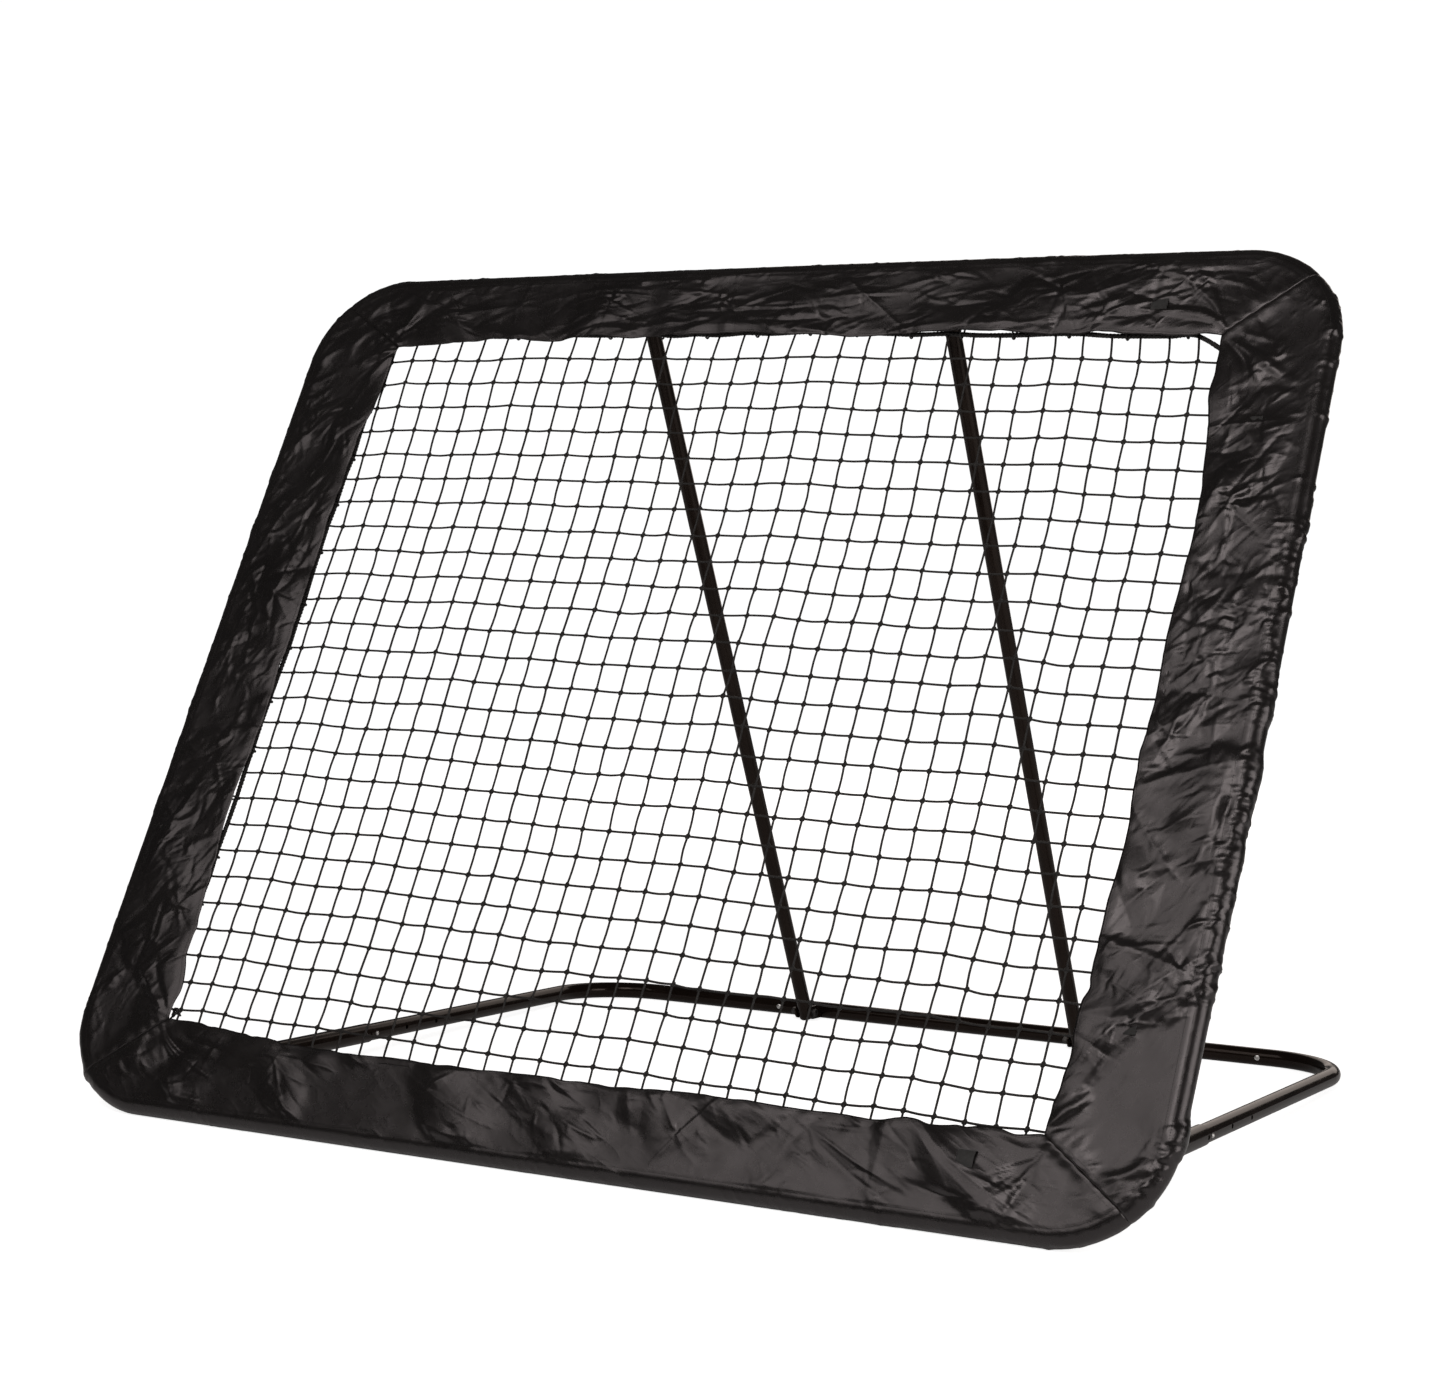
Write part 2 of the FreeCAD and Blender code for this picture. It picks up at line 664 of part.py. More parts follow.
def build_front_frame():
    nodes = corner_tubes()
    nodes["frame_tube_bottom"] = middle_tube(mid_joint_x, "bottom")
    nodes["frame_tube_top"] = middle_tube(mid_joint_x, "top")
    nodes["frame_tube_left"] = middle_tube(mid_joint_z, "left")
    nodes["frame_tube_right"] = middle_tube(mid_joint_z, "right")
    nodes["frame_joint_screws"] = joint_screws()

    leg_half = sleeve_r + ear_gap
    strut_half = strut_r + ear_gap
    nodes["leg_hinge_bracket_left"] = frame_bracket("bottom", -leg_x, leg_half)
    nodes["leg_hinge_bracket_right"] = frame_bracket("bottom", leg_x, leg_half)
    nodes["strut_hinge_bracket_left"] = frame_bracket("top", strut_x, strut_half)
    nodes["strut_hinge_bracket_right"] = frame_bracket("top", -strut_x, strut_half)
    legs = ("bottom", (-leg_x, leg_x), leg_half + ear_thick)
    tops = ("top", (-strut_x, strut_x), strut_half + ear_thick)
    nodes["leg_hinge_bolts"] = group(frame_hardware(*legs, bolt))
    nodes["leg_hinge_nuts"] = group(frame_hardware(*legs, nut))
    nodes["strut_hinge_bolts"] = group(frame_hardware(*tops, bolt))
    nodes["strut_hinge_nuts"] = group(frame_hardware(*tops, nut))
    nodes["frame_hinge_washers"] = group(frame_hardware(*legs, washers) + frame_hardware(*tops, washers))

    nodes["net"] = net_panel()
    nodes["net_border_rope"] = border_rope()
    side_distance = half_width - net_half_width
    nodes["elastic_loops_bottom"] = elastic_loops("bottom", loops_wide, net_bottom)
    nodes["elastic_loops_top"] = elastic_loops("top", loops_wide, frame_length - net_top)
    nodes["elastic_loops_left"] = elastic_loops("left", loops_high, side_distance)
    nodes["elastic_loops_right"] = elastic_loops("right", loops_high, side_distance)

    straight_z = half_length - frame_bend
    nodes["cover_bottom"] = cover_panel("bottom", straight_x, flap_bottom, (-leg_x, leg_x), notch_bottom)
    nodes["cover_top"] = cover_panel("top", straight_x, flap_top, (-strut_x, strut_x), notch_top)
    nodes["cover_left"] = cover_panel("left", straight_z, flap_side, (), 0)
    nodes["cover_right"] = cover_panel("right", straight_z, flap_side, (), 0)
    nodes["cover_straps"] = closure_straps()
    return {name: lean(shape) for name, shape in nodes.items()}


def build_stand():
    nodes = {}
    nodes["leg_sleeve_left"] = slope(leg_sleeve(-1))
    nodes["leg_sleeve_right"] = slope(leg_sleeve(1))
    nodes["leg_sleeve_plugs"] = sleeve_plugs()
    nodes["rear_bend_right"] = slope(rear_bend_tube(right_joint_x))
    nodes["rear_bend_left"] = slope(mirrored(rear_bend_tube(-left_joint_x)))
    nodes["rear_cross_tube"] = slope(rear_cross_tube())
    nodes["rear_joint_screws"] = rear_screws()
    for leg_name, leg in (("left", -1), ("right", 1)):
        for face_name, face in (("inner", -leg), ("outer", leg)):
            nodes["lock_button_" + leg_name + "_" + face_name] = lock_button(leg, face)
    for name, x in (("left", -strut_x), ("right", strut_x)):
        nodes["foot_clevis_" + name] = foot_clevis(x)
        nodes["strut_" + name] = strut(x)
        nodes["strut_plugs_" + name] = strut_plugs(x)
    nodes["foot_bolts"] = foot_hardware(bolt)
    nodes["foot_nuts"] = foot_hardware(nut)
    nodes["foot_washers"] = foot_hardware(washers)
    return nodes


os.makedirs("parts", exist_ok=True)
for name, shape in {**build_front_frame(), **build_stand()}.items():
    shape.exportStep("parts/" + name + ".step")
    print(name, len(shape.Solids), shape.isValid(), round(shape.Volume / 1000, 1))
print("leg hinge", round(hinge_y, 3), round(hinge_z, 3), "slope", round(leg_slope, 4))
print("strut hinge", round(top_y, 3), round(top_z, 3), "foot", round(foot_y, 3), foot_height)
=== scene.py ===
import json
import math

import bmesh
import bpy
import numpy as np
from mathutils import Matrix, Vector


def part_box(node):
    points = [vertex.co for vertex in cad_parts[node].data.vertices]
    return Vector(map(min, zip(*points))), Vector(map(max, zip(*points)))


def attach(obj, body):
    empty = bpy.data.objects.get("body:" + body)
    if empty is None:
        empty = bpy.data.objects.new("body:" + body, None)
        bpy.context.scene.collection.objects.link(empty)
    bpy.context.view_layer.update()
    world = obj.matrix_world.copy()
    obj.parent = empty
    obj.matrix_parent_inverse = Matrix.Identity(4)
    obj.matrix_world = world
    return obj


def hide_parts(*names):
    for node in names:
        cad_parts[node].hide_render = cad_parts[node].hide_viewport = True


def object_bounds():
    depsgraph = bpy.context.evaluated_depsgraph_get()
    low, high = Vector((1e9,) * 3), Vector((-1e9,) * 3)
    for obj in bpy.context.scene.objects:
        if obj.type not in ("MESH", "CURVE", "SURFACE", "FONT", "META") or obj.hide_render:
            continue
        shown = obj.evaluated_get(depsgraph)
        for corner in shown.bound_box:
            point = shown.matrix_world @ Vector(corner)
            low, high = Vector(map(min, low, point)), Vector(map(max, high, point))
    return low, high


# Looks for the pitch back rebounder, in metres. Soft parts are built in frame coordinates:
# x to the right along the bottom tube, b behind the net and s up the frame.

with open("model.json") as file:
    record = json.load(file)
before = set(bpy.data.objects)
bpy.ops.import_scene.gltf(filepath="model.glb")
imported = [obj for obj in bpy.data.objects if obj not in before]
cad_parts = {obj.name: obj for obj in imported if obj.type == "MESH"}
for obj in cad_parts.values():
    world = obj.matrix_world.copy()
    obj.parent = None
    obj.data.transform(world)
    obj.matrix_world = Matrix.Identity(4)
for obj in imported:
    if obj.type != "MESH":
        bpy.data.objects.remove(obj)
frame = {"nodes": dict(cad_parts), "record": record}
cad_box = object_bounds()


def middle(node):
    lo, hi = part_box(node)
    return (np.array(lo) + np.array(hi)) / 2


FOOT = middle("frame_tube_bottom")
UP = middle("frame_tube_top") - FOOT
LENGTH = float(np.linalg.norm(UP))
UP = UP / LENGTH
SIDE = np.array((1.0, 0.0, 0.0))
BEHIND = np.cross(UP, SIDE)
HALF = float(middle("frame_tube_right")[0])


def place(points):
    """Points in frame coordinates (x, b, s) to the row frame."""
    points = np.asarray(points, float)
    return FOOT + points[..., :1] * SIDE + points[..., 1:2] * BEHIND + points[..., 2:3] * UP


def extent(node):
    """Lowest and highest frame coordinates of a CAD node."""
    co = np.array([v.co for v in frame["nodes"][node].data.vertices]) - FOOT
    local = np.stack([co @ SIDE, co @ BEHIND, co @ UP], 1)
    return local.min(0), local.max(0)


TUBE_R = extent("frame_tube_bottom")[1][1]
BEND = 0.140  # radius of the frame's corners, on the tube's centre line
COVER_R = extent("cover_bottom")[1][1] - 0.0005
BACK_FLAP = 0.045
# How far each panel reaches into the opening from the tube's centre line.
FLAP = {
    "bottom": 0.119,
    "top": 0.107,
    "left": HALF + extent("cover_left")[1][0],
    "right": HALF - extent("cover_right")[0][0],
}
ROPE_LO, ROPE_HI = extent("net_border_rope")
ROPE_R = ROPE_HI[1]
ROPE_X = ROPE_HI[0] - ROPE_R
ROPE_LOW = ROPE_LO[2] + ROPE_R
ROPE_HIGH = ROPE_HI[2] - ROPE_R
LOOP_PITCH = 0.08934


# ---- Meshes ----

class Soup:
    """Vertices and faces of one piece, gathered from many strands and patches."""

    def __init__(self):
        self.verts = []
        self.faces = []
        self.count = 0

    def add(self, verts, faces):
        verts = np.asarray(verts, float).reshape(-1, 3)
        self.verts.append(verts)
        self.faces.append(np.asarray(faces, int) + self.count)
        self.count += len(verts)

    def sweep(self, path, radius, sides=8, closed=False, flat=1.0):
        """A tube along path, with closed ends. flat squeezes it across."""
        path = np.asarray(path, float)
        n = len(path)
        if closed:
            way = np.roll(path, -1, 0) - np.roll(path, 1, 0)
        else:
            way = np.gradient(path, axis=0)
        way /= np.linalg.norm(way, axis=1)[:, None] + 1e-12
        helper = (0.0, 0.0, 1.0) if abs(way[0][2]) < 0.9 else (0.0, 1.0, 0.0)
        across = np.cross(way[0], np.array(helper))
        across /= np.linalg.norm(across)
        rings = np.zeros((n, sides, 3))
        radius = np.broadcast_to(np.asarray(radius, float), (n,))
        angles = np.linspace(0, 2 * math.pi, sides, endpoint=False)
        for i in range(n):
            across = across - way[i] * (across @ way[i])
            across /= np.linalg.norm(across) + 1e-12
            third = np.cross(way[i], across)
            rings[i] = path[i] + radius[i] * (np.cos(angles)[:, None] * across
                                              + flat * np.sin(angles)[:, None] * third)
        self.add(rings, grid_faces(n, sides, closed, True))
        if not closed:
            base = self.count - n * sides
            for start, order in ((base, -1), (base + (n - 1) * sides, 1)):
                ring = np.arange(sides)[::order] + start
                self.verts.append(rings[0 if order < 0 else -1].mean(0)[None])
                tip = self.count
                self.count += 1
                self.faces.append(np.array([(tip, tip, ring[k], ring[(k + 1) % sides])
                                            for k in range(sides)]))

    def object(self, name):
        """The gathered faces as an object. A point that a face names twice in a row counts once."""
        verts = np.concatenate(self.verts)
        faces = []
        for block in self.faces:
            for row in block:
                faces.append([int(row[0])] + [int(b) for a, b in zip(row, row[1:]) if a != b])
        mesh = bpy.data.meshes.new(name)
        mesh.from_pydata(verts.tolist(), [], faces)
        mesh.validate()
        mesh.polygons.foreach_set("use_smooth", [True] * len(mesh.polygons))
        mesh.update()
        made = bpy.data.objects.new(name, mesh)
        bpy.context.scene.collection.objects.link(made)
        return made


def grid_faces(rows, cols, wrap_rows=False, wrap_cols=False):
    """Quads of a grid of points, row by row."""
    r = np.arange(rows if wrap_rows else rows - 1)
    c = np.arange(cols if wrap_cols else cols - 1)
    r, c = np.meshgrid(r, c, indexing="ij")
    r2 = (r + 1) % rows
    c2 = (c + 1) % cols
    return np.stack([r * cols + c, r * cols + c2, r2 * cols + c2, r2 * cols + c], -1).reshape(-1, 4)


def smoothstep(x):
    x = np.clip(x, 0, 1)
    return x * x * (3 - 2 * x)


def wander(rng, count, period, size=1.0):
    """A smooth random run of values that changes over about period steps."""
    knots = rng.normal(0, 1, int(count / period) + 4)
    x = np.arange(count) / period + 1
    i = x.astype(int)
    t = smoothstep(x - i)
    return size * (knots[i] * (1 - t) + knots[i + 1] * t)


# ---- Materials ----

WAVE_SCALE = 2 / 6.2832  # the wave texture's scale for one thread per unit of length


class Shade:
    """A node material: a Principled shader with procedural detail."""

    def __init__(self, name, colour, rough, **sockets):
        self.material = bpy.data.materials.new(name)
        self.material.use_nodes = True
        self.tree = self.material.node_tree
        self.shader = self.tree.nodes["Principled BSDF"]
        self.set("Base Color", (*colour, 1))
        self.set("Roughness", rough)
        for key, value in sockets.items():
            self.set(key.replace("_", " "), value)
        self.bumps = []

    def set(self, socket, value):
        self.shader.inputs[socket].default_value = value

    def node(self, kind, **values):
        made = self.tree.nodes.new(kind)
        for key, value in values.items():
            if key in made.inputs:
                made.inputs[key].default_value = value
            else:
                setattr(made, key, value)
        return made

    def link(self, source, target):
        self.tree.links.new(source, target)

    def stretched(self, source, stretch):
        mapping = self.node("ShaderNodeMapping", Scale=stretch)
        self.link(source, mapping.inputs["Vector"])
        return mapping.outputs["Vector"]

    def coordinates(self, stretch=(1, 1, 1), kind="Object"):
        return self.stretched(self.node("ShaderNodeTexCoord").outputs[kind], stretch)

    def product(self, first, second):
        both = self.node("ShaderNodeMath", operation="MULTIPLY")
        self.link(first, both.inputs[0])
        self.link(second, both.inputs[1])
        return both.outputs["Value"]

    def noise(self, scale, detail=3.0, rough=0.55, stretch=(1, 1, 1)):
        made = self.node("ShaderNodeTexNoise", Scale=scale, Detail=detail, Roughness=rough)
        self.link(self.coordinates(stretch), made.inputs["Vector"])
        return made.outputs["Fac"]

    def creases(self, scale, detail, stretch, patch):
        """Patches of sharp-crested ridges, drawn out along the way the panel's folds run."""
        made = self.node("ShaderNodeTexNoise", noise_type="RIDGED_MULTIFRACTAL", Scale=scale,
                         Detail=detail, Roughness=0.45, Distortion=0.35)
        made.inputs["Gain"].default_value = 1.0
        made.inputs["Offset"].default_value = 1.0
        folds = self.node("ShaderNodeUVMap", uv_map="folds").outputs["UV"]
        self.link(self.stretched(folds, stretch), made.inputs["Vector"])
        patches = self.ramp(self.noise(patch, 2), 0.12, 1.0, 0.40, 0.62)
        return self.product(made.outputs["Fac"], patches)

    def ramp(self, source, low, high, start=0.3, end=0.7):
        """Values or colours from low to high as source goes from start to end."""
        made = self.node("ShaderNodeValToRGB")
        points = made.color_ramp.elements
        for point, where, value in ((points[0], start, low), (points[1], end, high)):
            point.position = where
            point.color = (*np.broadcast_to(value, 3), 1)
        self.link(source, made.inputs["Fac"])
        return made.outputs["Color"]

    def colour(self, source, low, high):
        self.link(self.ramp(source, low, high), self.shader.inputs["Base Color"])

    def roughness(self, source, low, high):
        self.link(self.ramp(source, low, high), self.shader.inputs["Roughness"])

    def bump(self, source, height, strength=1.0):
        """Adds relief of that height, in metres."""
        made = self.node("ShaderNodeBump", Strength=strength, Distance=height)
        self.link(source, made.inputs["Height"])
        if self.bumps:
            self.link(self.bumps[-1].outputs["Normal"], made.inputs["Normal"])
        self.bumps.append(made)
        self.link(made.outputs["Normal"], self.shader.inputs["Normal"])

    def weave(self, pitch):
        """Over and under threads at that pitch, from UVs in metres."""
        waves = []
        for direction in ("X", "Y"):
            made = self.node("ShaderNodeTexWave", Scale=WAVE_SCALE / pitch, wave_type="BANDS",
                             bands_direction=direction, wave_profile="SIN")
            self.link(self.coordinates(kind="UV"), made.inputs["Vector"])
            waves.append(made.outputs["Fac"])
        return self.product(*waves)


def powder_coat():
    made = Shade("black_powder_coat", (0.0090, 0.0058, 0.0043), 0.15, Specular_IOR_Level=0.20)
    made.set("Specular Tint", (1.0, 0.84, 0.76, 1))
    made.colour(made.noise(14, 4), (0.0066, 0.0041, 0.0030), (0.0125, 0.0082, 0.0062))
    made.roughness(made.noise(14, 4), 0.10, 0.19)
    made.bump(made.noise(900, 2), 0.000002)
    made.bump(made.noise(160, 3), 0.000006)
    return made.material


def metal(name, colour, rough, scratch):
    made = Shade(name, colour, rough, Metallic=1.0)
    dark = tuple(c * 0.7 for c in colour)
    made.colour(made.noise(120, 5), dark, colour)
    made.roughness(made.noise(400, 4, stretch=(1, 1, 5)), rough - 0.08, rough + 0.12)
    made.bump(made.noise(scratch, 3), 0.000015)
    return made.material


def moulded_plastic():
    made = Shade("black_moulded_plastic", (0.014, 0.013, 0.013), 0.46, Specular_IOR_Level=0.5)
    made.colour(made.noise(40, 3), (0.010, 0.0095, 0.009), (0.019, 0.018, 0.017))
    made.roughness(made.noise(250, 4), 0.38, 0.56)
    made.bump(made.noise(1400, 2), 0.00001)
    return made.material


def coated_cloth():
    made = Shade("black_coated_polyester", (0.0085, 0.0076, 0.0073), 0.32, Specular_IOR_Level=0.55)
    made.set("Specular Tint", (1.0, 0.93, 0.945, 1))
    made.set("Sheen Weight", 0.02)
    made.set("Sheen Roughness", 0.45)
    made.set("Sheen Tint", (0.9, 0.86, 0.84, 1))
    made.colour(made.noise(9, 5), (0.0055, 0.0047, 0.0045), (0.0110, 0.0098, 0.0094))
    made.roughness(made.noise(28, 5), 0.23, 0.33)
    made.bump(made.creases(9, 1.0, (0.38, 1.6, 1), 6), 0.0009)
    made.bump(made.creases(40, 1.5, (0.5, 1.25, 1), 11), 0.0003)
    made.bump(made.noise(240, 3, 0.6), 0.00016, 0.4)
    made.bump(made.weave(0.0007), 0.000018)
    return made.material


def twine(name, colour, pitch, height):
    made = Shade(name, colour, 0.62, Specular_IOR_Level=0.4)
    light = tuple(c * 1.8 for c in colour)
    made.colour(made.noise(300, 4), colour, light)
    made.roughness(made.noise(90, 3), 0.52, 0.72)
    made.bump(made.noise(1 / pitch, 2, stretch=(1, 1, 0.5)), height)
    return made.material


def webbing():
    made = Shade("black_webbing", (0.012, 0.011, 0.011), 0.7, Specular_IOR_Level=0.35)
    made.set("Sheen Weight", 0.25)
    made.colour(made.noise(200, 4), (0.009, 0.0085, 0.008), (0.020, 0.019, 0.018))
    made.roughness(made.noise(60, 3), 0.6, 0.8)
    made.bump(made.weave(0.0016), 0.0003)
    return made.material


CLOTH = coated_cloth()
COAT = powder_coat()
PLASTIC = moulded_plastic()
ZINC = metal("zinc_plate", (0.86, 0.85, 0.83), 0.42, 700)
DARK_BOLT = metal("dark_plated_steel", (0.09, 0.086, 0.083), 0.36, 600)
NET_TWINE = twine("net_twine", (0.0090, 0.0078, 0.0070), 0.0011, 0.0003)
ROPE = twine("braided_rope", (0.0100, 0.0088, 0.0080), 0.0008, 0.0003)
ELASTIC = twine("elastic_cord", (0.012, 0.011, 0.0105), 0.0006, 0.0002)
THREAD = twine("sewing_thread", (0.016, 0.015, 0.0145), 0.0004, 0.0001)
STRAP = webbing()


def finished(obj, material, body, slot=None, *replaced):
    """Gives a piece its material and body, and hides the CAD nodes that it replaces. slot is not used."""
    obj.data.materials.clear()
    obj.data.materials.append(material)
    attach(obj, body)
    if replaced:
        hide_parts(*replaced)
    return obj


# ---- Cover ----

# Each panel: the way along it and the way into the opening, in x and s, and half its length
# between the centre lines of the tubes at its ends.
PANELS = {
    "bottom": ((1, 0), (0, 1), HALF),
    "right": ((0, 1), (-1, 0), LENGTH / 2),
    "top": ((-1, 0), (0, -1), HALF),
    "left": ((0, -1), (1, 0), LENGTH / 2),
}
MIDDLES = {
    "bottom": (0, 0),
    "right": (HALF, LENGTH / 2),
    "top": (0, LENGTH),
    "left": (-HALF, LENGTH / 2),
}
ORDER = ("bottom", "right", "top", "left")

# How far the fabric's fullness carries each inner corner into the opening: along x, along s.
CORNER_FULLNESS = {
    ("bottom", "right"): (-0.022, 0.006),
    ("right", "top"): (-0.015, -0.023),
    ("top", "left"): (0.022, -0.010),
    ("left", "bottom"): (0.016, 0.015),
}
# How far along each hem that fullness reaches, at the panel's start and end.
FULLNESS_REACH = {
    "bottom": (0.30, 0.34),
    "right": (0.36, 0.40),
    "top": (0.75, 0.24),
    "left": (0.34, 0.40),
}
# Places where a hem is drawn back or hangs out: along the panel, spread and how far.
HEM_SHIFTS = {
    "bottom": ((-0.22, 0.16, -0.005),),
    "right": ((0.30, 0.10, -0.009), (-0.42, 0.10, 0.004)),
    "top": ((-0.15, 0.22, 0.004), (0.3, 0.25, 0.002)),
    "left": ((0.22, 0.10, -0.005), (-0.12, 0.10, 0.003)),
}

# The way most folds run, from the panel's length towards the opening, in radians.
FOLD_SLANT = {"bottom": -0.42, "right": -0.70, "top": 0.14, "left": -0.70}

COLUMN_STEP = 0.0027
FLAP_ROWS = 52
GUSSET_ROWS = 18
BACK_ROWS = 11
# The turned-under edge's rows, at these distances from the hem.
HEM_FOLD = (0.013, 0.009, 0.005, 0.0015)
CLOTH_THICKNESS = 0.0007
CREST_WIDTH = 0.0037
CREST_HEIGHT = 0.0012
STRAY_SHARE = 0.22
MAX_FOLD = 0.006
USUAL_FLAP = 0.139
HEM_SINK = 0.0078 / USUAL_FLAP  # how far the hem lies behind the seam's level, for each metre of flap
CROWN = 0.0042
HEM_FOLD_GAP = 0.0014
EASE = 0.003
# How far the cloth hangs off the tube at the middle of a panel.
EDGE_SLACK = {"right": 0.0045, "top": 0.0030}
MITRE_REACH = 0.42  # how far from each mitre the fabric is drawn to the inner corner
FLOOR_GAP = 0.0004

# The back flap's notches: the brackets they clear, and half their width.
NOTCHES = {"bottom": ("leg_hinge", 0.038), "top": ("strut_hinge", 0.034)}
BRACKET_HALF_DEPTH = 0.0136


def corner_point(first, second):
    """Inner corner of the cover between two neighbouring panels, in frame x and s."""
    names = {first, second}
    x = (HALF - FLAP["right"]) if "right" in names else (FLAP["left"] - HALF)
    s = FLAP["bottom"] if "bottom" in names else LENGTH - FLAP["top"]
    fullness = CORNER_FULLNESS[(first, second)]
    return np.array((x + fullness[0], s + fullness[1]))


def to_panel(panel, point):
    along, inwards, _ = PANELS[panel]
    offset = np.asarray(point) - np.array(MIDDLES[panel])
    return np.array((offset @ np.array(along), offset @ np.array(inwards)))


def from_panel(panel, x, z):
    along, inwards, _ = PANELS[panel]
    mid = MIDDLES[panel]
    return mid[0] + x * along[0] + z * inwards[0], mid[1] + x * along[1] + z * inwards[1]


class Folds:
    """Creases of one panel: long flat-sided ridges and valleys, most with a thin crest."""

    def __init__(self, rng):
        self.rng = rng
        self.items = []

    def add(self, u, v, angle, length, width, height, lean=0.0, curl=0.0, crest=0.0):
        self.items.append((u, v, angle, length, width, height, lean, curl))
        if crest:
            peak = crest * math.copysign(1, height)
            self.items.append((u, v, angle, length * 0.9, CREST_WIDTH, peak, 0.0, curl))

    def scatter(self, count, span, lengths, slope, mean_angle, spread, v_span=(-0.05, 0.13),
                crest=0.5, breadth=(0.12, 0.38)):
        """Folds over a stretch of the panel, most of them near one angle and some at any."""
        rng = self.rng
        for _ in range(count):
            length = math.exp(rng.uniform(math.log(lengths[0]), math.log(lengths[1])))
            width = length * rng.uniform(*breadth)
            height = width * rng.uniform(*slope) * rng.choice((-1, 1))
            angle = mean_angle + rng.normal(0, spread)
            if rng.random() < STRAY_SHARE:
                angle = rng.uniform(0, math.pi)
            has_crest = rng.random() < crest
            peak = CREST_HEIGHT * min(1.0, length / 0.05) if has_crest else 0.0
            u = rng.uniform(*span)
            v = rng.uniform(*v_span)
            lean = rng.uniform(-0.55, 0.55)
            curl = rng.normal(0, 0.12) / length
            self.add(u, v, angle, length, width, height, lean, curl, peak * rng.uniform(0.4, 1.0))

    def star(self, u, v, count, length, slope):
        """Creases that meet where the cloth is pinched."""
        start = self.rng.uniform(0, math.pi)
        for k in range(count):
            angle = start + math.pi * k / count + self.rng.normal(0, 0.2)
            reach = length * self.rng.uniform(0.5, 1.2)
            shift = self.rng.uniform(-0.6, 0.6) * reach
            width = reach * 0.22
            height = width * slope * self.rng.choice((-1, 1))
            self.add(u + shift * math.cos(angle), v + shift * math.sin(angle), angle, reach,
                     width, height, 0.3, 0.0, 0.0008)

    def height(self, t, u, v):
        """Height over the panel's grid, whose columns are at t."""
        total = np.zeros_like(u)
        for cu, cv, angle, length, width, height, lean, curl in self.items:
            reach = length + 0.14
            a, b = np.searchsorted(t, (cu - reach, cu + reach))
            if b <= a:
                continue
            du = u[:, a:b] - cu
            dv = v[:, a:b] - cv
            along = du * math.cos(angle) + dv * math.sin(angle)
            off = -du * math.sin(angle) + dv * math.cos(angle) + curl * along * along
            off = np.abs(off) / width * (1 + lean * np.sign(off))
            total[:, a:b] += height * np.clip(1 - np.abs(along) / length - off, 0, 1)
        return total


def panel_folds(panel, half, rng):
    """Folds as the photo shows them on each panel: fine ones over broad ones, then the edge's."""
    folds = Folds(rng)
    slant = FOLD_SLANT["right"]
    if panel == "right":
        folds.scatter(26, (-0.75, 0.30), (0.10, 0.22), (0.06, 0.13), slant, 0.25, crest=0.9)
        folds.scatter(150, (-0.8, 0.45), (0.035, 0.10), (0.07, 0.16), slant, 0.6)
        folds.scatter(260, (-0.8, 0.1), (0.014, 0.04), (0.08, 0.17), slant, 0.8)
        folds.scatter(420, (0.0, 0.78), (0.014, 0.045), (0.09, 0.19), slant + 0.1, 0.6)
    elif panel == "left":
        folds.scatter(16, (-0.7, 0.8), (0.09, 0.18), (0.06, 0.12), slant, 0.35, crest=0.9)
        folds.scatter(150, (-0.8, 0.8), (0.03, 0.09), (0.07, 0.16), slant, 0.5)
        folds.scatter(430, (-0.8, 0.1), (0.014, 0.045), (0.09, 0.19), -0.3, 0.5)
        folds.scatter(220, (0.1, 0.8), (0.014, 0.04), (0.08, 0.16), slant, 0.7)
    elif panel == "top":
        folds.scatter(34, (-0.9, 0.9), (0.08, 0.18), (0.08, 0.16), 0.14, 0.14,
                      v_span=(0.02, 0.12), crest=0.9, breadth=(0.07, 0.16))
        folds.scatter(200, (-0.9, 0.9), (0.03, 0.09), (0.08, 0.17), 0.16, 0.25, breadth=(0.10, 0.22))
        folds.scatter(380, (-0.9, 0.9), (0.014, 0.045), (0.07, 0.15), 0.2, 0.5)
    else:
        folds.scatter(40, (-0.9, 0.9), (0.10, 0.24), (0.05, 0.10), -0.42, 0.16, crest=0.9)
        folds.scatter(110, (-0.9, 0.9), (0.03, 0.10), (0.05, 0.12), -0.45, 0.4)
        folds.scatter(260, (-0.9, 0.9), (0.014, 0.04), (0.06, 0.13), -0.5, 0.7)
    lumps = (0.16, 0.30) if panel == "right" else (0.07, 0.15)
    folds.scatter(520, (-0.9, 0.9), (0.010, 0.032), lumps, 1.3, 0.7, v_span=(-0.05, 0.010), crest=0.8)
    for _ in range({"left": 8, "right": 5, "top": 4}.get(panel, 0)):
        folds.star(rng.uniform(-half + 0.15, half - 0.15), rng.uniform(0.02, 0.11), 5, 0.055, 0.12)
    return folds


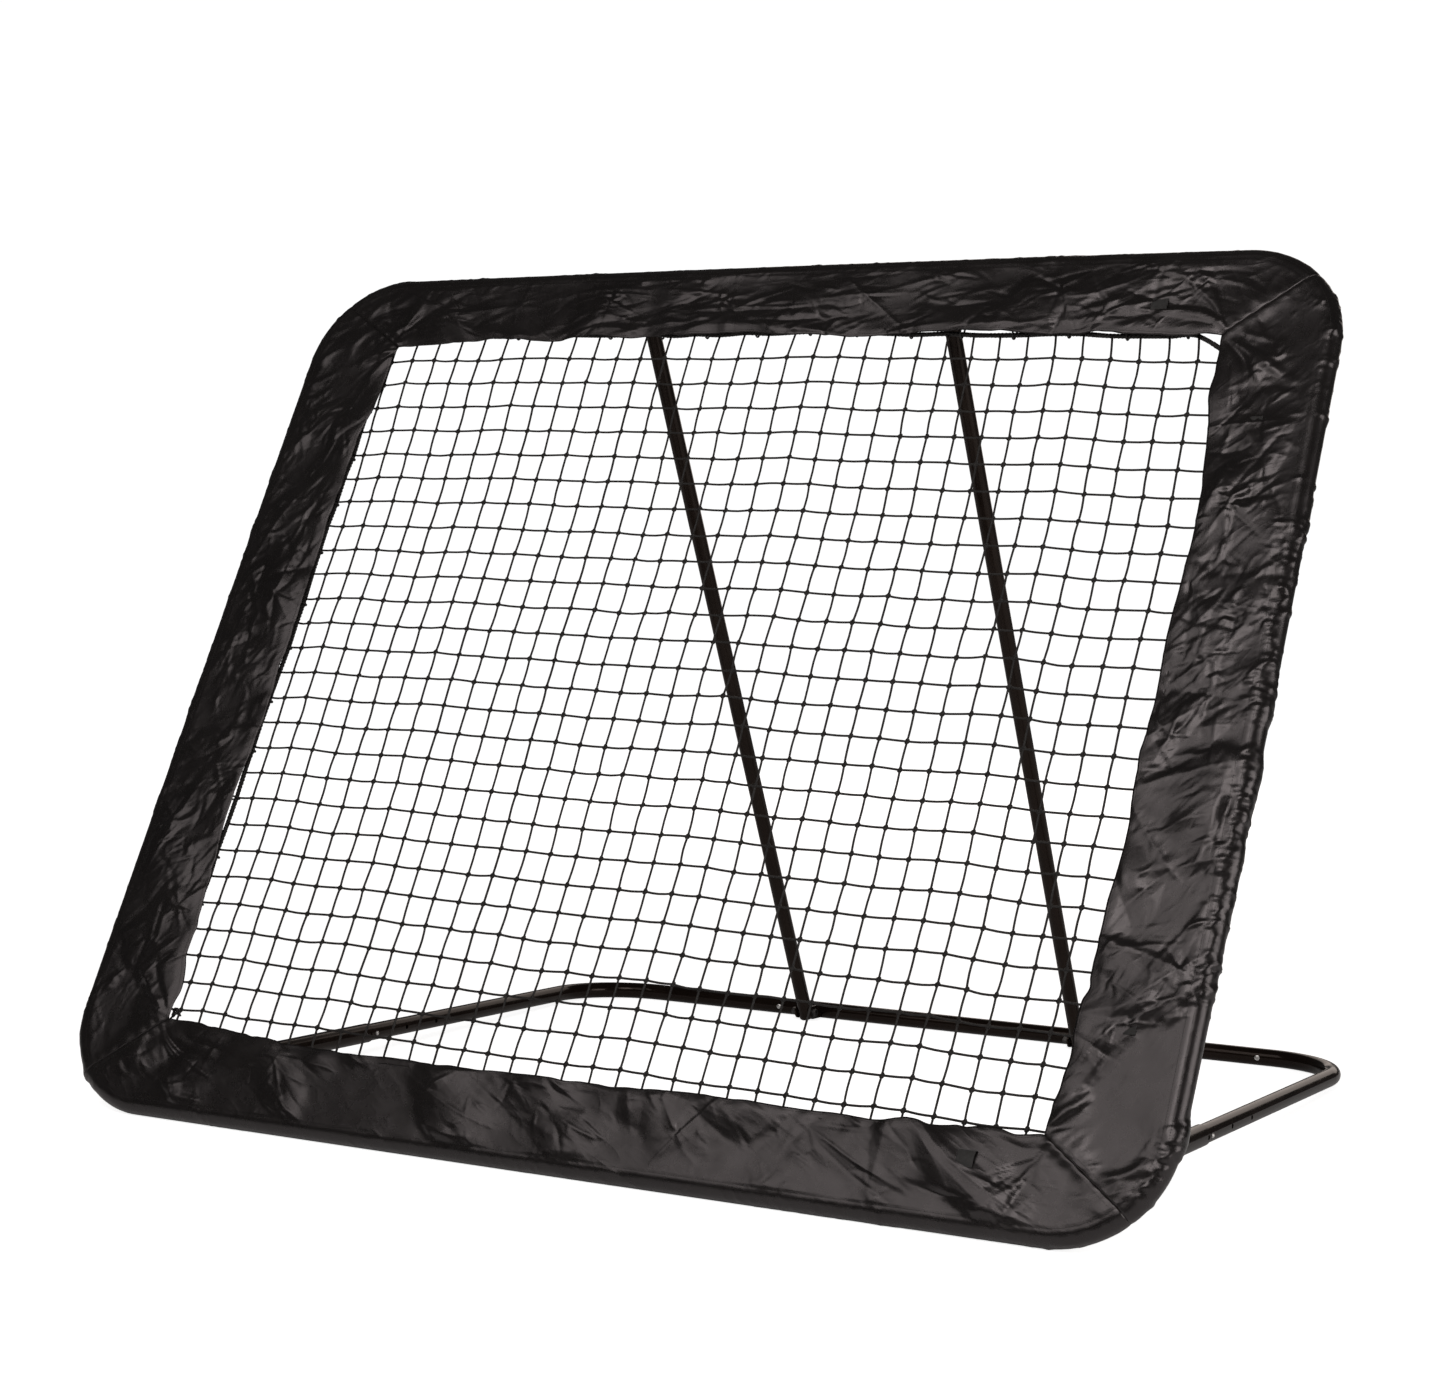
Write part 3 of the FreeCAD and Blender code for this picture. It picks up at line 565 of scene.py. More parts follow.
def cover_ring():
    """Columns of the whole cover: panel, place along it, outer point, outward way and hem point."""
    rows = []
    for k, panel in enumerate(ORDER):
        half = PANELS[panel][2]
        run = half - BEND + BEND * math.pi / 4
        ends = (to_panel(panel, corner_point(ORDER[k - 1], panel)),
                to_panel(panel, corner_point(panel, ORDER[(k + 1) % 4])))
        count = 2 * int(run / COLUMN_STEP) + 1
        t = np.linspace(-run, run, count)
        side = np.sign(t)
        turn = np.clip(np.abs(t) - (half - BEND), 0, None) / BEND
        base = np.clip(t, -(half - BEND), half - BEND)
        outer = np.stack([base + side * BEND * np.sin(turn), BEND * (1 - np.cos(turn))], 1)
        out = np.stack([side * np.sin(turn), -np.cos(turn)], 1)
        end = np.where((t < 0)[:, None], ends[0], ends[1])
        near = 1 - (run - np.abs(t)) / MITRE_REACH
        hem_x = t + (end[:, 0] - side * run) * smoothstep(near)
        reach = np.where(t < 0, *FULLNESS_REACH[panel])
        droop = np.clip(1 - np.abs(end[:, 0] - hem_x) / reach, 0, 1)
        hem_z = FLAP[panel] + (end[:, 1] - FLAP[panel]) * droop ** 1.6
        for where, spread, shift in HEM_SHIFTS[panel]:
            hem_z += shift * np.exp(-((t - where) / spread) ** 2)
        hem = np.stack([hem_x, hem_z], 1)
        rows.append((panel, run, t, outer, out, hem))
    return rows


def front_depth(f, width):
    """How far in front of the tube's centre the flap is: f is 0 at the hem and 1 at the seam."""
    hem_depth = COVER_R - HEM_SINK * width
    crown = CROWN * (1 - f * f) ** 2 * smoothstep(f * 4 + 0.5)
    return hem_depth * (1 - f) + COVER_R * f + crown


def panel_grid(t, outer, out, hem, width):
    """A panel without folds, row by row from the turned-under edge, over the hem and round the tube
    to the back flap: places in the plane, depth, normals, and cloth coordinates u and v."""
    cols = len(t)
    facing = np.stack([0 * t, -np.ones(cols), 0 * t], 1)
    flap = [(d / width, HEM_FOLD_GAP) for d in HEM_FOLD]
    flap += [(np.full(cols, k / FLAP_ROWS), 0.0) for k in range(FLAP_ROWS + 1)]
    rows = []
    for f, gap in flap:
        rows.append((hem + (outer - hem) * f[:, None], gap - front_depth(f, width), facing,
                     hem[:, 0] * (1 - f) + t * f, width * (1 - f)))
    for k in range(1, GUSSET_ROWS + 1):
        angle = math.pi * k / GUSSET_ROWS
        sine, cosine = math.sin(angle), math.cos(angle)
        normal = np.stack([out[:, 0] * sine, np.full(cols, -cosine), out[:, 1] * sine], 1)
        rows.append((outer + out * COVER_R * sine, np.full(cols, -COVER_R * cosine), normal,
                     t, np.full(cols, -COVER_R * angle)))
    for k in range(1, BACK_ROWS + 1):
        d = BACK_FLAP * k / BACK_ROWS
        rows.append((outer - out * d, np.full(cols, COVER_R), -facing,
                     t, np.full(cols, -COVER_R * math.pi - d)))
    return [np.array(values) for values in zip(*rows)]


def add_pleats(folds, hem):
    """Folds that run out of both inner corners, where the cloth is gathered."""
    rng = folds.rng
    for end in (-1, 1):
        tip = hem[0 if end < 0 else -1]
        for _ in range(7):
            angle = rng.uniform(0.15, 1.35)
            reach = rng.uniform(0.05, 0.13)
            slide = reach * rng.uniform(0.5, 0.9)
            width = reach * 0.16
            height = width * rng.uniform(0.12, 0.22) * rng.choice((-1, 1))
            folds.add(tip[0] - end * slide * math.cos(angle) * 0.9, tip[1] - slide * math.sin(angle),
                      angle if end > 0 else math.pi - angle, reach, width, height, 0.2, 0.0, 0.0007)


def panel_relief(panel, run, t, u, v, hem, rng):
    """How far the cloth stands off its even surface."""
    cols = len(t)
    to_mitre = run - np.abs(t)
    row_t = t[None]
    folds = panel_folds(panel, PANELS[panel][2], rng)
    add_pleats(folds, hem)
    height = folds.height(t, u, v)

    # Folds and broad swells on the front, weaker folds round the edge, and none at the mitres.
    front = smoothstep((v + 0.004) / 0.02)
    calm = smoothstep(to_mitre / 0.028)[None]
    edge_share = 0.95 if panel == "right" else 0.6
    height = MAX_FOLD * np.tanh(height / MAX_FOLD) * (front + edge_share * (1 - front)) * calm
    swell = (wander(rng, cols, 40, 0.0022) + wander(rng, cols, 17, 0.0010))[None] * front * calm
    height += swell * np.sin(math.pi * np.clip(v / USUAL_FLAP, 0, 1)) + 0.0008 * front
    for _ in range(7):
        heading = rng.uniform(0, math.pi)
        wave = rng.uniform(0.10, 0.20)
        distance = u * math.cos(heading) + v * math.sin(heading)
        phase = distance * 2 * math.pi / wave + rng.uniform(0, 6.28)
        height += 0.0009 * np.sin(phase) * front * calm

    # Gathers and the sewn line where the front meets the edge.
    gathers = np.sin(row_t / 0.0019 + 2.6 * np.sin(row_t / 0.023)) + np.sin(row_t / 0.0031 + v / 0.004)
    gathered = 0.00055 if panel == "right" else 0.00025
    height += gathered * gathers * np.exp(-np.abs(v + 0.010) / 0.010) * calm
    height -= 0.0002 * np.exp(-((v - 0.001) / 0.0035) ** 2)

    # Round the tube the cloth only stands outwards, and hangs a little slack.
    slack = np.clip(1 - (row_t / run) ** 2, 0, 1) * EDGE_SLACK.get(panel, 0.0010)
    round_tube = np.exp(-((v + 0.028) / 0.022) ** 2)
    outwards = 0.5 * (height + np.sqrt(height ** 2 + 1e-7))
    height = np.where(v < 0.004, outwards, height) + slack * round_tube

    # The mitre's sewn line, with the cloth gathered beside it.
    mitre = np.exp(-(to_mitre[None] / 0.0030) ** 2)
    height -= 0.0008 * mitre * (v > -0.05)
    gather = np.sin(v / 0.0034 + 2.0 * np.sin(v / 0.021)) * np.exp(-to_mitre[None] / 0.014) * (1 - mitre)
    height += 0.0008 * gather * front
    if panel in ("left", "bottom"):
        end = -1 if panel == "bottom" else 1
        ear = np.exp(-((run - end * row_t) / 0.010) ** 2) * np.exp(-((v + 0.028) / 0.012) ** 2)
        height += 0.0055 * ear
    return height


def cover_panel(panel, run, t, outer, out, hem, rng):
    """One panel as a grid of points in frame coordinates, with its cloth coordinates."""
    cols = len(t)
    away = smoothstep((run - np.abs(t)) / 0.05)
    width = np.linalg.norm(hem - outer, axis=1)
    ripple = (wander(rng, cols, 26, 0.0022) + wander(rng, cols, 9, 0.0007)) * away
    hem = hem + ripple[:, None] * (0, 1)
    plane, behind, normal, u, v = panel_grid(t, outer, out, hem, width)
    height = panel_relief(panel, run, t, u, v, hem, rng)

    x, s = from_panel(panel, plane[..., 0], plane[..., 1])
    along, inwards, _ = PANELS[panel]
    nx = normal[..., 0] * along[0] + normal[..., 2] * inwards[0]
    ns = normal[..., 0] * along[1] + normal[..., 2] * inwards[1]
    points = np.stack([x + nx * height, behind + normal[..., 1] * height, s + ns * height], -1)

    # The flap eases off before it would reach the tube, the loops and the net behind it.
    limit = -(TUBE_R + 0.0042 - 0.0103 * np.clip(v, 0, None) / 0.143)
    over = points[..., 1] - limit + EASE
    eased = limit - EASE + EASE * np.tanh(np.clip(over, 0, None) / EASE)
    points[..., 1] = np.where((v > 0.004) & (over > 0), eased, points[..., 1])
    return points, u, v


def notch_mask(panel, u, v):
    """True where the back flap is cut away round a bracket."""
    cut = np.zeros(u.shape, bool)
    if panel not in NOTCHES:
        return cut
    kind, half_width = NOTCHES[panel]
    start = -COVER_R * (math.pi / 2 + math.asin(BRACKET_HALF_DEPTH / COVER_R))
    for hand in ("left", "right"):
        x = middle(f"{kind}_bracket_{hand}")[0] * PANELS[panel][0][0]
        cut |= (np.abs(u - x) < half_width) & (v < start)
    return cut


def drop_loose(obj):
    """Removes points that no face uses."""
    mesh = bmesh.new()
    mesh.from_mesh(obj.data)
    bmesh.ops.delete(mesh, geom=[v for v in mesh.verts if not v.link_faces], context="VERTS")
    bmesh.ops.recalc_face_normals(mesh, faces=mesh.faces)
    mesh.to_mesh(obj.data)
    mesh.free()


def build_cover():
    """Makes the four panels, and gives the points and cloth coordinates of each."""
    rng = np.random.default_rng(20)
    panels = {}
    for panel, run, t, outer, out, hem in cover_ring():
        points, u, v = cover_panel(panel, run, t, outer, out, hem, rng)
        faces = grid_faces(*u.shape)
        faces = faces[~notch_mask(panel, u, v).ravel()[faces].any(1)]
        placed = place(points)
        placed[..., 2] = np.maximum(placed[..., 2], FLOOR_GAP)
        mesh = bpy.data.meshes.new(f"cover_{panel}_cloth")
        mesh.from_pydata(placed.reshape(-1, 3).tolist(), [], faces.tolist())
        for name, slope in (("cloth", 0.0), ("folds", FOLD_SLANT[panel])):
            first = u * math.cos(slope) + v * math.sin(slope)
            second = v * math.cos(slope) - u * math.sin(slope)
            uv = np.stack([first.ravel(), second.ravel()], 1)[faces.ravel()]
            mesh.uv_layers.new(name=name).data.foreach_set("uv", uv.ravel())
        mesh.polygons.foreach_set("use_smooth", [True] * len(mesh.polygons))
        cloth = bpy.data.objects.new(f"cover_{panel}_cloth", mesh)
        bpy.context.scene.collection.objects.link(cloth)
        drop_loose(cloth)
        thick = cloth.modifiers.new("thickness", "SOLIDIFY")
        thick.thickness = CLOTH_THICKNESS
        thick.offset = -1
        finished(cloth, CLOTH, "front_frame", "cover_fabric", f"cover_{panel}")
        panels[panel] = (points, u, v, t)
    return panels


COVER = build_cover()


# ---- Net ----

NET_EDGE = 0.752  # where the border rope runs up each side, out of sight
NET_COLUMNS = 35
NET_ROWS = 29
MID_COLUMN = 16.5
MID_ROW = 14
SQUARE_WIDE = 0.044602
SQUARE_HIGH = 0.044643
NET_MIDDLE = (0.0092, 0.7213)
TWINE_R = 0.00180
CORD_R = 0.0015
STRAND_R = 0.0014
BRAID_PITCH = 0.024


def net_knots(rng):
    """Knots of the net, column by row, in frame x and s. Tension leaves the squares uneven."""
    cols, rows = NET_COLUMNS, NET_ROWS
    i = np.arange(cols)[:, None] * np.ones((1, rows)) - 1
    j = np.arange(rows)[None] * np.ones((cols, 1))
    u = (i - MID_COLUMN) / MID_COLUMN
    w = (j - MID_ROW) / MID_ROW
    bow = 2 * w * w - 1
    arch = 2 * u * u - 1
    x = NET_MIDDLE[0] + SQUARE_WIDE * (i - MID_COLUMN) - 0.000175 * (j - MID_ROW)
    s = NET_MIDDLE[1] + SQUARE_HIGH * (j - MID_ROW) - 0.000722 * (i - MID_COLUMN)
    x += -0.0024 * u - 0.0027 * bow + 0.0060 * u * w
    s += 0.0016 * bow - 0.0021 * u * w - 0.0012 * arch - 0.0017 * arch * w
    x += wander(rng, rows, 2.6, 0.0021)[None] + rng.normal(0, 0.0005, (cols, rows))
    s += wander(rng, cols, 2.4, 0.0024)[:, None] + rng.normal(0, 0.0006, (cols, rows))
    x[:, -1] -= 0.007 * smoothstep((u[:, -1] - 0.1) / 0.5)
    x[0] = -NET_EDGE + wander(rng, rows, 4, 0.001)
    x[-1] = NET_EDGE + wander(rng, rows, 4, 0.001)
    return x, s


def build_net():
    """Makes the net, and gives its knots."""
    rng = np.random.default_rng(5)
    x, s = net_knots(rng)
    cols, rows = x.shape
    inner = np.minimum(np.minimum(x + ROPE_X, ROPE_X - x), np.minimum(s - ROPE_LOW, ROPE_HIGH - s))
    b = -0.0032 * smoothstep(inner / 0.06) + rng.normal(0, 0.0006, x.shape)
    knots = np.stack([x, b, s], -1)
    soup = Soup()
    steps = np.linspace(0, 1, 5)[:-1]
    lines = [knots[i] for i in range(1, cols - 1)] + [knots[:, j] for j in range(1, rows - 1)]
    level = [False] * (cols - 2) + [True] * (rows - 2)
    for line, is_level in zip(lines, level):
        points = []
        for a, c in zip(line, line[1:]):
            slack = rng.normal(0, 0.0005, 3) - np.array((0, 0, 0.0007 if is_level else 0.0))
            for q in steps:
                points.append(a + (c - a) * q + slack * math.sin(math.pi * q))
        points.append(line[-1])
        soup.sweep(place(points), TWINE_R, 6)
    for i in range(1, cols - 1):
        for j in range(1, rows - 1):
            soup.sweep(place(knots[i, j] + knot_path(rng)), 0.0017, 5)
    net = soup.object("net_twine")
    finished(net, NET_TWINE, "front_frame", "net_cord", "net")
    return knots


def knot_path(rng):
    """A small tight knot, about its middle."""
    a = np.linspace(0.2, 2 * math.pi * 1.55, 15) + rng.uniform(0, 6.28)
    r = 0.0023 + 0.0006 * np.sin(2 * a)
    tilt = rng.uniform(-0.5, 0.5)
    x = r * np.cos(a)
    s = r * np.sin(a) * 1.25
    b = 0.0012 * np.sin(1.5 * a + tilt) - 0.0002
    return np.stack([x + 0.0006 * tilt, b, s], 1)


KNOTS = build_net()


def rope_line():
    """Centre line of the border rope: it follows the net's outer knots, wobbles a little, and sags along the
    top towards the right.
    """
    rng = np.random.default_rng(9)
    edges = (KNOTS[:, 0], KNOTS[-1, :], KNOTS[::-1, -1], KNOTS[0, ::-1])
    ring = np.concatenate([edge[1:-1] for edge in edges])
    count = len(ring)
    ring[:, 1] = rng.normal(0, 0.0006, count)
    x = ring[:, 0]
    upper = np.exp(-((ring[:, 2] - ring[:, 2].max()) / 0.02) ** 2)
    ring[:, 2] += upper * rng.normal(0, 0.0012, count)
    ring[:, 2] -= upper * (0.0055 * smoothstep((x - 0.15) / 0.3) - 0.0015)
    fine = []
    for k in range(count):
        p0, p1, p2, p3 = (ring[(k + d) % count] for d in (-1, 0, 1, 2))
        span = np.linalg.norm(p2 - p1)
        number = max(4, int(span / 0.003))
        for q in np.arange(number) / number:
            point = 0.5 * (2 * p1 + (p2 - p0) * q + (2 * p0 - 5 * p1 + 4 * p2 - p3) * q * q
                           + (3 * p1 - p0 - 3 * p2 + p3) * q ** 3)
            fine.append(point)
    return np.array(fine)


def frames_along(path):
    """Two unit ways across a closed path, without twist."""
    way = np.roll(path, -1, 0) - np.roll(path, 1, 0)
    way /= np.linalg.norm(way, axis=1)[:, None]
    first = np.array((0.0, 1.0, 0.0)) - way * way[:, 1:2]
    first /= np.linalg.norm(first, axis=1)[:, None]
    return first, np.cross(way, first)


def build_rope():
    """Makes the braided rope from strands wound both ways, and gives its centre line."""
    line = rope_line()
    step = np.linalg.norm(np.roll(line, -1, 0) - line, axis=1)
    length = step.sum()
    z = np.concatenate([[0], np.cumsum(step)[:-1]])
    turns = round(length / BRAID_PITCH)
    spin = 2 * math.pi * turns * z / length
    first, second = frames_along(line)
    soup = Soup()
    for way in (1, -1):
        for k in range(4):
            angle = way * spin + 2 * math.pi * k / 4
            reach = 0.00245 + way * 0.00045 * np.cos(4 * spin)
            around = np.cos(angle)[:, None] * first + np.sin(angle)[:, None] * second
            soup.sweep(place(line + reach[:, None] * around), STRAND_R, 5, closed=True)
    rope = soup.object("net_border_braid")
    finished(rope, ROPE, "front_frame", "border_rope", "net_border_rope")
    return line


ROPE_LINE = build_rope()


def tie(soup, sx, ss):
    """Two cords from the rope's corner to the frame tube, and their coil round the rope."""
    inset = BEND - BEND * math.sqrt(0.5)
    corner = np.array((sx * (HALF - inset), 0.0, LENGTH - inset if ss else inset))
    near = ROPE_LINE[np.argmin(np.linalg.norm(ROPE_LINE - corner, axis=1))]
    way = corner - near
    way /= np.linalg.norm(way)
    side = np.array((way[2], 0, -way[0]))
    for k in (-1, 1):
        a = np.linspace(0, 1, 16)
        end = corner - way * (TUBE_R + 0.001)
        path = near + (end - near) * a[:, None] + side * k * (0.0022 + 0.012 * a[:, None])
        path[:, 1] += 0.0008 * np.sin(a * 5 + k)
        soup.sweep(place(path), CORD_R, 7)
    a = np.linspace(0, 4.2 * math.pi, 34)
    coil = near + np.outer(0.0042 * np.cos(a), side) + np.outer(np.linspace(-0.004, 0.006, 34), way)
    coil[:, 1] += 0.0046 * np.sin(a)
    soup.sweep(place(coil), CORD_R, 7)


def build_ties():
    """The net's tie-offs at its four corners, and the knot with two tails seen at the low left one."""
    rng = np.random.default_rng(31)
    soup = Soup()
    for sx, ss in ((1, 1), (1, 0), (-1, 0), (-1, 1)):
        tie(soup, sx, ss)
    low_left = corner_point("left", "bottom")
    knot = np.array((low_left[0] - 0.002, 0.0, low_left[1] + 0.013))
    soup.sweep(place(knot + 2.0 * knot_path(rng)), 0.0022, 7)
    for end in ((-0.022, 0.004, -0.026), (0.010, 0.002, -0.004)):
        a = np.linspace(0, 1, 9)[:, None]
        bend = np.sin(a * math.pi) * np.array((0.002, 0.0, 0.001))
        soup.sweep(place(knot + a * np.array(end) + bend), CORD_R, 7)
    ties = soup.object("corner_ties")
    finished(ties, ELASTIC, "front_frame", "elastic_cord")


build_ties()


# ---- Elastic loops and straps ----

LOOPS = {"bottom": 16, "top": 16, "left": 14, "right": 14}
CRIMPED = slice(46, 50)  # a loop's points under its crimp, on the second straight run


def loop_path(rng, tube, rope):
    """Closed line round the frame tube and the border rope, both at points in frame x and s."""
    big = TUBE_R + 0.0017
    small = ROPE_R + 0.0017
    way = rope - tube
    distance = np.linalg.norm(way)
    way = way / distance
    tilt = math.asin((big - small) / distance)
    near = [(big * math.cos(q), big * math.sin(q))
            for q in np.linspace(math.pi / 2 - tilt, 1.5 * math.pi + tilt, 19)]
    far = [(distance + small * math.cos(q), small * math.sin(q))
           for q in np.linspace(-math.pi / 2 + tilt, math.pi / 2 - tilt, 11)]
    runs = []
    for start, end in ((near[-1], far[0]), (far[-1], near[0])):
        q = np.linspace(0, 1, 14)[1:-1]
        bow = rng.normal(0, 0.0004) * np.sin(math.pi * q)
        runs.append(np.stack([start[0] + (end[0] - start[0]) * q,
                              start[1] + (end[1] - start[1]) * q + bow], 1))
    points = np.concatenate([near, runs[0], far, runs[1]])
    return np.stack([tube[0] + points[:, 0] * way[0], points[:, 1], tube[1] + points[:, 0] * way[1]], 1)


def build_loops():
    rng = np.random.default_rng(12)
    rope = ROPE_LINE[:, [0, 2]]
    for panel, count in LOOPS.items():
        cords = Soup()
        crimps = Soup()
        for k in range(count):
            t = (k - (count - 1) / 2) * LOOP_PITCH
            tube = np.array(from_panel(panel, t, 0.0))
            inner = np.array(from_panel(panel, t + rng.normal(0, 0.003), FLAP[panel]))
            nearest = rope[np.argmin(np.linalg.norm(rope - inner, axis=1))]
            path = loop_path(rng, tube, nearest)
            cords.sweep(place(path), CORD_R, 8, closed=True)
            crimps.sweep(place(path[CRIMPED]), 0.0024, 10, flat=0.8)
        made = cords.object(f"elastic_cords_{panel}")
        finished(made, ELASTIC, "front_frame", "elastic_cord", f"elastic_loops_{panel}")
        made = crimps.object(f"elastic_crimps_{panel}")
        finished(made, ZINC, "front_frame")


build_loops()


# Straps on each panel, by their place along it in loop pitches.
STRAPS = {
    "top": (-7, -4, 0, 4, 7),
    "bottom": (-7, -4, 0, 4, 7),
    "left": (-5, -2, 2, 5),
    "right": (-5, -2, 2, 5),
}
STRAP_OUTSIDE = COVER_R + 0.0013
# Half of a strap's section: places across it, and the half thickness at each.
STRAP_ACROSS = (-0.0125, -0.0122, -0.0108, -0.004, 0.004, 0.0108, 0.0122, 0.0125)
STRAP_HALF_THICK = (0.0, 0.00036, 0.00045, 0.0004, 0.0004, 0.00045, 0.00036, 0.0)
STITCH_BOX = 0.0095  # half the width of the sewn box on a strap


def cut_corners(line):
    """The same line with its corners cut twice, and its ends kept."""
    for _ in range(2):
        cut = [line[0]]
        for a, c in zip(line, line[1:]):
            cut += [a * 0.75 + c * 0.25, a * 0.25 + c * 0.75]
        line = np.array(cut + [line[-1]])
    return line


def strap_profile(panel, along):
    """A strap's middle line, in distance from the tube and b: from the flap's inside to the cover's back."""
    points, _, v, t = COVER[panel]
    col = int(np.argmin(np.abs(t - along)))
    first = len(HEM_FOLD)

    def inside(d):
        row = int(np.argmin(np.abs(v[first:first + FLAP_ROWS, col] - d))) + first
        return points[row, col - 3:col + 4, 1].max()

    return cut_corners(np.array([
        (0.066, inside(0.066) + 0.0016), (0.074, inside(0.074) + 0.0016),
        (0.084, inside(0.084) + 0.0018), (0.092, inside(0.09) + 0.006),
        (0.086, -0.001), (0.068, 0.011),
        (0.054, STRAP_OUTSIDE + 0.0004), (0.044, STRAP_OUTSIDE + 0.0006),
        (0.032, STRAP_OUTSIDE + 0.0002), (0.020, STRAP_OUTSIDE),
    ]))


def cap_faces(start, half):
    """Faces across a strap's end, whose 2 * half points begin at start."""
    top = start + np.arange(1, half)
    low = start + 2 * half - np.arange(1, half)
    faces = [(a, a + 1, c - 1, c) for a, c in zip(top[:-1], low[:-1])]
    faces.append((start, start, top[0], low[0]))
    faces.append((start + half, start + half, low[-1], top[-1]))
    return np.array(faces)


def add_strap(soup, panel, along, profile, skew):
    n = len(profile)
    way = np.gradient(profile, axis=0)
    way /= np.linalg.norm(way, axis=1)[:, None]
    upper = list(zip(STRAP_ACROSS, STRAP_HALF_THICK))
    ring = upper + [(a, -h) for a, h in upper[-2:0:-1]]
    body = np.zeros((n, len(ring), 3))
    for m, (a, h) in enumerate(ring):
        d = profile[:, 0] - way[:, 1] * h
        b = profile[:, 1] + way[:, 0] * h
        x, s = from_panel(panel, along + a + skew * np.linspace(0, 1, n), d)
        body[:, m] = np.stack([x, b, s], 1)
    first = soup.count
    soup.add(place(body), grid_faces(n, len(ring), False, True))
    for start in (first, soup.count - len(ring)):
        soup.faces.append(cap_faces(start, len(ring) // 2))


def sew_strap(soup, panel, along, profile):
    """A box with one diagonal on the strap's inner end, and another on its outer end."""
    inner = profile[:12]
    for d0, d1, at_hem in ((0.068, 0.082, True), (0.024, 0.040, False)):
        corners = ((-STITCH_BOX, d0), (STITCH_BOX, d0), (STITCH_BOX, d1),
                   (-STITCH_BOX, d1), (-STITCH_BOX, d0), (STITCH_BOX, d1))
        for a, e in zip(corners, corners[1:]):
            q = np.linspace(0, 1, 25)
            d = a[1] + (e[1] - a[1]) * q
            if at_hem:
                on = np.interp(d, inner[:, 0], inner[:, 1]) + 0.0006
            else:
                on = np.full_like(q, STRAP_OUTSIDE + 0.0009)
            x, s = from_panel(panel, along + a[0] + (e[0] - a[0]) * q, d)
            waves = 0.00012 * np.cos(q * 24 * math.pi)
            soup.sweep(place(np.stack([x, on + waves, s], 1)), 0.00022, 5)


def build_straps():
    rng = np.random.default_rng(8)
    webbing_soup = Soup()
    thread_soup = Soup()
    for panel, steps in STRAPS.items():
        for step in steps:
            along = step * LOOP_PITCH
            profile = strap_profile(panel, along)
            add_strap(webbing_soup, panel, along, profile, rng.normal(0, 0.0012))
            sew_strap(thread_soup, panel, along, profile)
    straps = webbing_soup.object("cover_strap_webbing")
    finished(straps, STRAP, "front_frame", "strap_webbing", "cover_straps")
    sewn = thread_soup.object("strap_stitches")
    finished(sewn, THREAD, "front_frame", "strap_webbing")


build_straps()


# ---- Seams and stitches on the cover ----

STITCH_STEP = 0.0040
STITCH_LENGTH = 0.0026
THREAD_R = 0.00026


def build_stitches():
    for panel, (points, u, _, _) in COVER.items():
        soup = Soup()
        fold = len(HEM_FOLD)
        seam = fold + FLAP_ROWS
        lines = [points[row] for row in (fold + 2, seam - 1, seam + 2)]
        lines += [points[fold:seam + 6, col] for col in (3, u.shape[1] - 4)]
        for line in lines:
            gap = np.linalg.norm(np.diff(line, axis=0), axis=1)
            z = np.concatenate([[0], np.cumsum(gap)])
            for a in np.arange(0.002, z[-1] - 0.003, STITCH_STEP):
                q = a + np.linspace(0, STITCH_LENGTH, 4)
                path = np.stack([np.interp(q, z, line[:, k]) for k in range(3)], 1)
                path[:, 1] -= 0.00008 + 0.00016 * np.sin(np.linspace(0, math.pi, 4))
                soup.sweep(place(path), THREAD_R, 4)
        sewn = soup.object(f"cover_{panel}_stitches")
        finished(sewn, THREAD, "front_frame", "cover_fabric")


build_stitches()


# ---- Hard parts ----

FINISH = {
    "black_tube": COAT,
    "bolt_steel": DARK_BOLT,
    "zinc_steel": ZINC,
    "plug_plastic": PLASTIC,
}
slots = {part["node"]: part["material_slot"] for part in frame["record"]["subparts"]}
for name, obj in frame["nodes"].items():
    if obj.hide_render:
        continue
    material = FINISH[slots[name]]
    obj.data.materials.clear()
    obj.data.materials.append(material)


# ---- Floor, light and camera ----

FLOOR_HALF = 40.0
FLOOR_DROP = 0.0002


def build_floor():
    """A pale floor that shades off into the white room."""
    soup = Soup()
    n = 33
    q = np.linspace(-FLOOR_HALF, FLOOR_HALF, n)
    x, y = np.meshgrid(q, q, indexing="ij")
    soup.add(np.stack([x, y, 0 * x - FLOOR_DROP], -1), grid_faces(n, n))
    floor = soup.object("floor")
    made = Shade("pale_floor", (0.93, 0.93, 0.93), 0.6, Specular_IOR_Level=0.1)
    made.colour(made.noise(2.0, 3), (0.92, 0.92, 0.92), (0.94, 0.94, 0.94))
    seen = made.node("ShaderNodeLightPath")
    near = made.node("ShaderNodeTexGradient", gradient_type="SPHERICAL")
    made.link(made.coordinates((0.14, 0.14, 0.14)), near.inputs["Vector"])
    glow = made.node("ShaderNodeMath", operation="MULTIPLY_ADD")
    glow.inputs[2].default_value = 0.10
    made.link(seen.outputs["Is Camera Ray"], glow.inputs[0])
    made.link(made.ramp(near.outputs["Fac"], 0.92, 0.76, 0.25, 0.75), glow.inputs[1])
    made.set("Emission Color", (1, 1, 1, 1))
    made.link(glow.outputs["Value"], made.shader.inputs["Emission Strength"])
    floor.data.materials.append(made.material)


